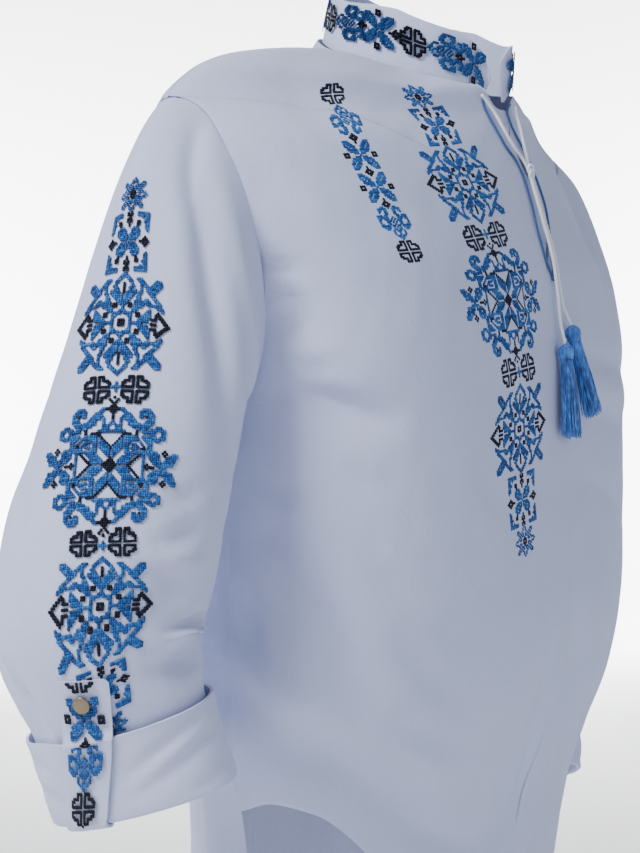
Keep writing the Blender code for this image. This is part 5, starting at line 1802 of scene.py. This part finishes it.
def make_tassel(side):
    """A cut tassel: loose strands under a head of wound thread, bound at its neck."""
    head, foot = (chest_point(place) for place in TASSELS[side])
    axis = Vector(head - foot).normalized()
    across = axis.cross(Vector((0, -1, 0))).normalized()
    turned = Matrix((across, axis.cross(across), axis)).transposed().to_4x4()
    place = Matrix.Translation(Vector(head) - axis * TASSEL_HEAD / 2) @ turned
    length = np.linalg.norm(foot - head) - TASSEL_HEAD / 2
    mesh = tassel_strands(length, np.random.default_rng(7 + side))
    shape = bmesh.new()
    shape.from_mesh(mesh)
    bpy.data.meshes.remove(mesh)
    tassel_head(shape)
    tassel_binding(shape)
    bmesh.ops.transform(shape, verts=shape.verts, matrix=place)
    close_up(shape)
    piece = finish_piece(named("cut_tassel", side), shape, "blue_tassel")
    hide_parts(named("tassel", side))
    return piece


# What a user may change


class ShirtColours(bpy.types.PropertyGroup):
    """Colours of the cloth, the threads and the metal"""

    # Painted shade cast: the cloth is white, and this colour is darker and bluer with part of the
    # cool shaded light put into it; the seam thread takes it too.
    linen: FloatVectorProperty(
        name="Linen", description="Colour of the cloth", subtype="COLOR", size=3, min=0, max=1,
        default=(0.520, 0.565, 0.800),
    )
    blue: FloatVectorProperty(
        name="Blue", description="Middle blue of the embroidery thread", subtype="COLOR", size=3,
        min=0, max=1, default=(0.013, 0.078, 0.290),
    )
    # Painted sheen: this lighter blue stands in for the highlights on the blue thread and the
    # tassels.
    sheen_blue: FloatVectorProperty(
        name="Light blue", description="Worn, light side of the blue thread", subtype="COLOR",
        size=3, min=0, max=1, default=(0.052, 0.215, 0.560),
    )
    black: FloatVectorProperty(
        name="Black", description="Blue-black embroidery thread", subtype="COLOR", size=3, min=0,
        max=1, default=(0.004, 0.005, 0.014),
    )
    cord: FloatVectorProperty(
        name="Cord", description="Colour of the tie cords", subtype="COLOR", size=3, min=0, max=1,
        default=(0.640, 0.665, 0.800),
    )
    brass: FloatVectorProperty(
        name="Brass", description="Colour of the snap caps", subtype="COLOR", size=3, min=0,
        max=1, default=(0.120, 0.092, 0.060),
    )


class ShirtStage(bpy.types.PropertyGroup):
    """Where the camera stands and how strong the lights are"""

    distance: FloatProperty(
        name="Camera distance", description="Level distance from the origin", unit="LENGTH",
        default=1.8, min=0.5,
    )
    azimuth: FloatProperty(
        name="Camera azimuth", description="Turn of the camera from straight in front",
        subtype="ANGLE", default=math.radians(-60),
    )
    shift_across: FloatProperty(
        name="Camera across", description="Sideways move of the camera", unit="LENGTH",
        default=-0.0713,
    )
    height: FloatProperty(
        name="Camera height", description="Height of the camera", unit="LENGTH", default=-0.27,
    )
    lens: FloatProperty(
        name="Lens", description="Focal length in millimetres", unit="CAMERA", default=101.29,
        min=10,
    )
    floor: FloatProperty(
        name="Floor", description="Height of the floor under the shirt", unit="LENGTH",
        default=-0.85,
    )
    key_light: FloatProperty(
        name="Key light", description="Power of the large lamp on the left in watts",
        unit="POWER", default=124, min=0,
    )
    wall_light: FloatProperty(
        name="Wall lights", description="Power of each lamp on the backdrop in watts",
        unit="POWER", default=300, min=0,
    )
    sky_light: FloatProperty(
        name="Sky", description="Strength of the even light", default=0.41, min=0,
    )


class SHIRT_OT_camera(bpy.types.Operator):
    """Stand the camera level with the chest, off the wearer's right front"""

    bl_idname = "shirt.camera"
    bl_label = "Camera"

    def execute(self, context):
        stage = context.scene.shirt_stage
        right = Vector((math.cos(stage.azimuth), math.sin(stage.azimuth), 0))
        back = Vector((math.sin(stage.azimuth), -math.cos(stage.azimuth), 0))
        seen = bpy.data.cameras.new("camera")
        seen.sensor_fit = "VERTICAL"
        seen.sensor_height = 36
        seen.lens = stage.lens
        seen.clip_end = 30
        camera = bpy.data.objects.new("camera", seen)
        camera.location = back * stage.distance + right * stage.shift_across
        camera.location.z = stage.height
        camera.rotation_euler = (math.pi / 2, 0, stage.azimuth)
        context.scene.collection.objects.link(camera)
        context.scene.camera = camera
        return {"FINISHED"}


CORD_POINTS = 150
TIE_TWIST = 620.0  # radians that the plies turn in a metre


class SHIRT_OT_cords(bpy.types.Operator):
    """Tie the two neck cords and hang a tassel from each"""

    bl_idname = "shirt.cords"
    bl_label = "Cords and tassels"

    def execute(self, context):
        knot = make_knot()
        for side in (RIGHT, LEFT):
            path = through(chest(*np.array(TIES[side]).T), CORD_POINTS)
            head, foot = (chest_point(place) for place in TASSELS[side])
            onward = np.arange(1, 9)[:, None] * 2.5 * MM  # 20 mm, on into the tassel
            path = np.concatenate([path, path[-1] + unit(foot - head) * onward])
            cord = round_cord(
                named("tie_cord", side), path, TIE_RADIUS, "white_cord",
                lobes=3, twist=TIE_TWIST, around=18,
            )
            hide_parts(named("tie", side))
            tassel = make_tassel(side)
        return {"FINISHED"}


class SHIRT_OT_body(bpy.types.Operator):
    """Drape the front and the back"""

    bl_idname = "shirt.body"
    bl_label = "Front and back"

    def execute(self, context):
        make_panel(True)
        make_panel(False)
        return {"FINISHED"}


class SHIRT_OT_collar(bpy.types.Operator):
    """Stand the collar band round the neck"""

    bl_idname = "shirt.collar"
    bl_label = "Collar"

    def execute(self, context):
        make_collar()
        return {"FINISHED"}


class SHIRT_OT_sleeves(bpy.types.Operator):
    """Set the sleeves in, with their turned-back cuffs, tabs and snaps"""

    bl_idname = "shirt.sleeves"
    bl_label = "Sleeves, cuffs and tabs"

    def execute(self, context):
        for side in (RIGHT, LEFT):
            make_sleeve(side)
            make_cuff(side)
            make_tab(side)
            make_snap(side)
        return {"FINISHED"}


class SHIRT_OT_piping(bpy.types.Operator):
    """Bind the slit with blue piping"""

    bl_idname = "shirt.piping"
    bl_label = "Slit piping"

    def execute(self, context):
        make_binding()
        return {"FINISHED"}


class SHIRT_OT_embroidery(bpy.types.Operator):
    """Cross-stitch the strips on the front, collar, sleeves and tabs"""

    bl_idname = "shirt.embroidery"
    bl_label = "Embroidery"

    def execute(self, context):
        wide = large_panel()

        def right_front(turn, z):
            return body_cloth(RIGHT, turn, z, OUTER)

        embroider("front_panel", wide, right_front, FRONT_LINE, 0.20, -1, 11)
        embroider("front_band", small_strip(FRONT_BAND), right_front, BAND_LINE, 0.08, -1, 12)
        for side in (RIGHT, LEFT):
            self.sleeve(side, wide)
            self.tab(side)
            self.collar(side)
        return {"FINISHED"}

    def sleeve(self, side, cells):
        """The large strip down a sleeve."""

        def surface(around, along):
            return sleeve_cloth(side, around, along, OUTER)

        embroider(
            named("sleeve_panel", side), cells, surface, SLEEVE_LINE, 0.20, side, 20 + side
        )

    def tab(self, side):
        """The small strip up a tab."""

        def surface(across, up):
            return tab_points(side, across, up, FREE + TAB_WALL)

        cells = {cell for cell in small_strip(TAB_BAND) if 2.2 < cell[1] < 63}
        embroider(
            named("tab_band", side), cells, surface, TAB_LINE, TAB_WIDTH / 2, -side, 30 + side
        )

    def collar(self, side):
        """The small strip from one end of the collar."""

        def face(up, around):
            return collar_face(up, around if side == RIGHT else 1 - around)

        cells = small_strip(COLLAR_BAND)
        if side == LEFT:
            cells = {cell for cell in cells if cell[1] < 128}
        embroider(named("collar_band", side), cells, face, COLLAR_LINE, 0.5, side, 40 + side)


class SHIRT_OT_stage(bpy.types.Operator):
    """Lay a pale floor that rises behind the shirt, and light it softly"""

    bl_idname = "shirt.stage"
    bl_label = "Floor and light"

    def execute(self, context):
        stage = context.scene.shirt_stage
        shape = bmesh.new()
        depth = (-9.0, -2.0, 4.6, 5.4, 5.8, 5.95, 6.0, 6.0)
        rise = (0.0, 0.0, 0.0, 0.06, 0.30, 0.70, 1.30, 9.0)
        width = np.linspace(-9, 9, 9)
        right = np.array([math.cos(stage.azimuth), math.sin(stage.azimuth), 0])
        back = np.array([math.sin(stage.azimuth), -math.cos(stage.azimuth), 0])
        points = (
            width[None, :, None] * right
            - np.array(depth)[:, None, None] * back
            + (np.array(rise)[:, None, None] + stage.floor) * np.array([0, 0, 1.0])
        )
        lay_grid(shape, points, flat_map(points))
        mesh = bpy.data.meshes.new("floor")
        shape.to_mesh(mesh)
        shape.free()
        mesh.shade_smooth()
        paper = Nodes("studio_paper", 0.9)
        place = paper.add("ShaderNodeTexCoord").outputs["Object"]
        stops = ((0.3, (0.86, 0.865, 0.875)), (0.7, (0.89, 0.892, 0.90)))
        paper.join(
            paper.colours(paper.noise(place, 2.0), stops), paper.shader.inputs["Base Color"]
        )
        mesh.materials.append(paper.material)
        floor = bpy.data.objects.new("floor", mesh)
        context.scene.collection.objects.link(floor)
        sky = bpy.data.worlds.new("even light")
        sky.use_nodes = True
        light = sky.node_tree.nodes["Background"]
        light.inputs["Color"].default_value = (0.80, 0.88, 1.0, 1)
        light.inputs["Strength"].default_value = stage.sky_light
        context.scene.world = sky
        chest_high = Vector((0, 0, -0.3))
        key = Vector(back * 1.6 - right * 1.75) + Vector((0, 0, 1.7))
        self.lamp(context, "key", key, chest_high, 1.4, stage.key_light, (1.0, 0.985, 0.97))
        fill = Vector(back * 1.6 + right * 1.8) + Vector((0, 0, 0.4))
        self.lamp(
            context, "fill", fill, chest_high, 2.0, stage.key_light * 0.08, (0.93, 0.96, 1.0)
        )
        for way, name in ((-1, "wall lamp left"), (1, "wall lamp right")):
            place = Vector(right * 1.9 * way - back * 4.4) + Vector((0, 0, -0.1))
            aim = Vector(-back * 6.0 - right * 0.1 * way) + Vector((0, 0, -0.1))
            self.lamp(context, name, place, aim, 1.0, stage.wall_light, (1.0, 1.0, 1.0))
        behind = Vector(-back * 3.0) + Vector((0, 0, 1.2))
        below = Vector(-back * 3.6) + Vector((0, 0, stage.floor))
        floor_watts = stage.wall_light * 0.4
        self.lamp(context, "floor lamp", behind, below, 1.6, floor_watts, (1.0, 1.0, 1.0))
        return {"FINISHED"}

    def lamp(self, context, name, place, target, size, power, colour):
        """A round soft lamp aimed at a place."""
        light = bpy.data.lights.new(name, "AREA")
        light.shape = "DISK"
        light.size = size
        light.energy = power
        light.color = colour
        lamp = bpy.data.objects.new(name, light)
        lamp.location = place
        aim = target - lamp.location
        lamp.rotation_euler = aim.to_track_quat("-Z", "Y").to_euler()
        context.scene.collection.objects.link(lamp)


OPERATORS = (
    SHIRT_OT_camera,
    SHIRT_OT_cords,
    SHIRT_OT_body,
    SHIRT_OT_collar,
    SHIRT_OT_sleeves,
    SHIRT_OT_piping,
    SHIRT_OT_embroidery,
    SHIRT_OT_stage,
)


class SHIRT_PT_panel(bpy.types.Panel):
    """The steps that build the shirt, in order"""

    bl_label = "Embroidered shirt"
    bl_idname = "SHIRT_PT_panel"
    bl_space_type = "VIEW_3D"
    bl_region_type = "UI"
    bl_category = "Shirt"

    def draw(self, context):
        for group in (context.scene.shirt_colours, context.scene.shirt_stage):
            for name in type(group).__annotations__:
                self.layout.prop(group, name)
        for step in OPERATORS:
            self.layout.operator(step.bl_idname)


CLASSES = (ShirtColours, ShirtStage, *OPERATORS, SHIRT_PT_panel)


def register():
    for made in CLASSES:
        bpy.utils.register_class(made)
    bpy.types.Scene.shirt_colours = PointerProperty(type=ShirtColours)
    bpy.types.Scene.shirt_stage = PointerProperty(type=ShirtStage)


def unregister():
    del bpy.types.Scene.shirt_stage
    del bpy.types.Scene.shirt_colours
    for made in reversed(CLASSES):
        bpy.utils.unregister_class(made)


def main():
    register()
    bpy.ops.shirt.camera()
    bpy.ops.shirt.cords()
    bpy.ops.shirt.body()
    bpy.ops.shirt.collar()
    bpy.ops.shirt.sleeves()
    bpy.ops.shirt.piping()
    bpy.ops.shirt.embroidery()
    bpy.ops.shirt.stage()


if __name__ == "__main__":
    main()
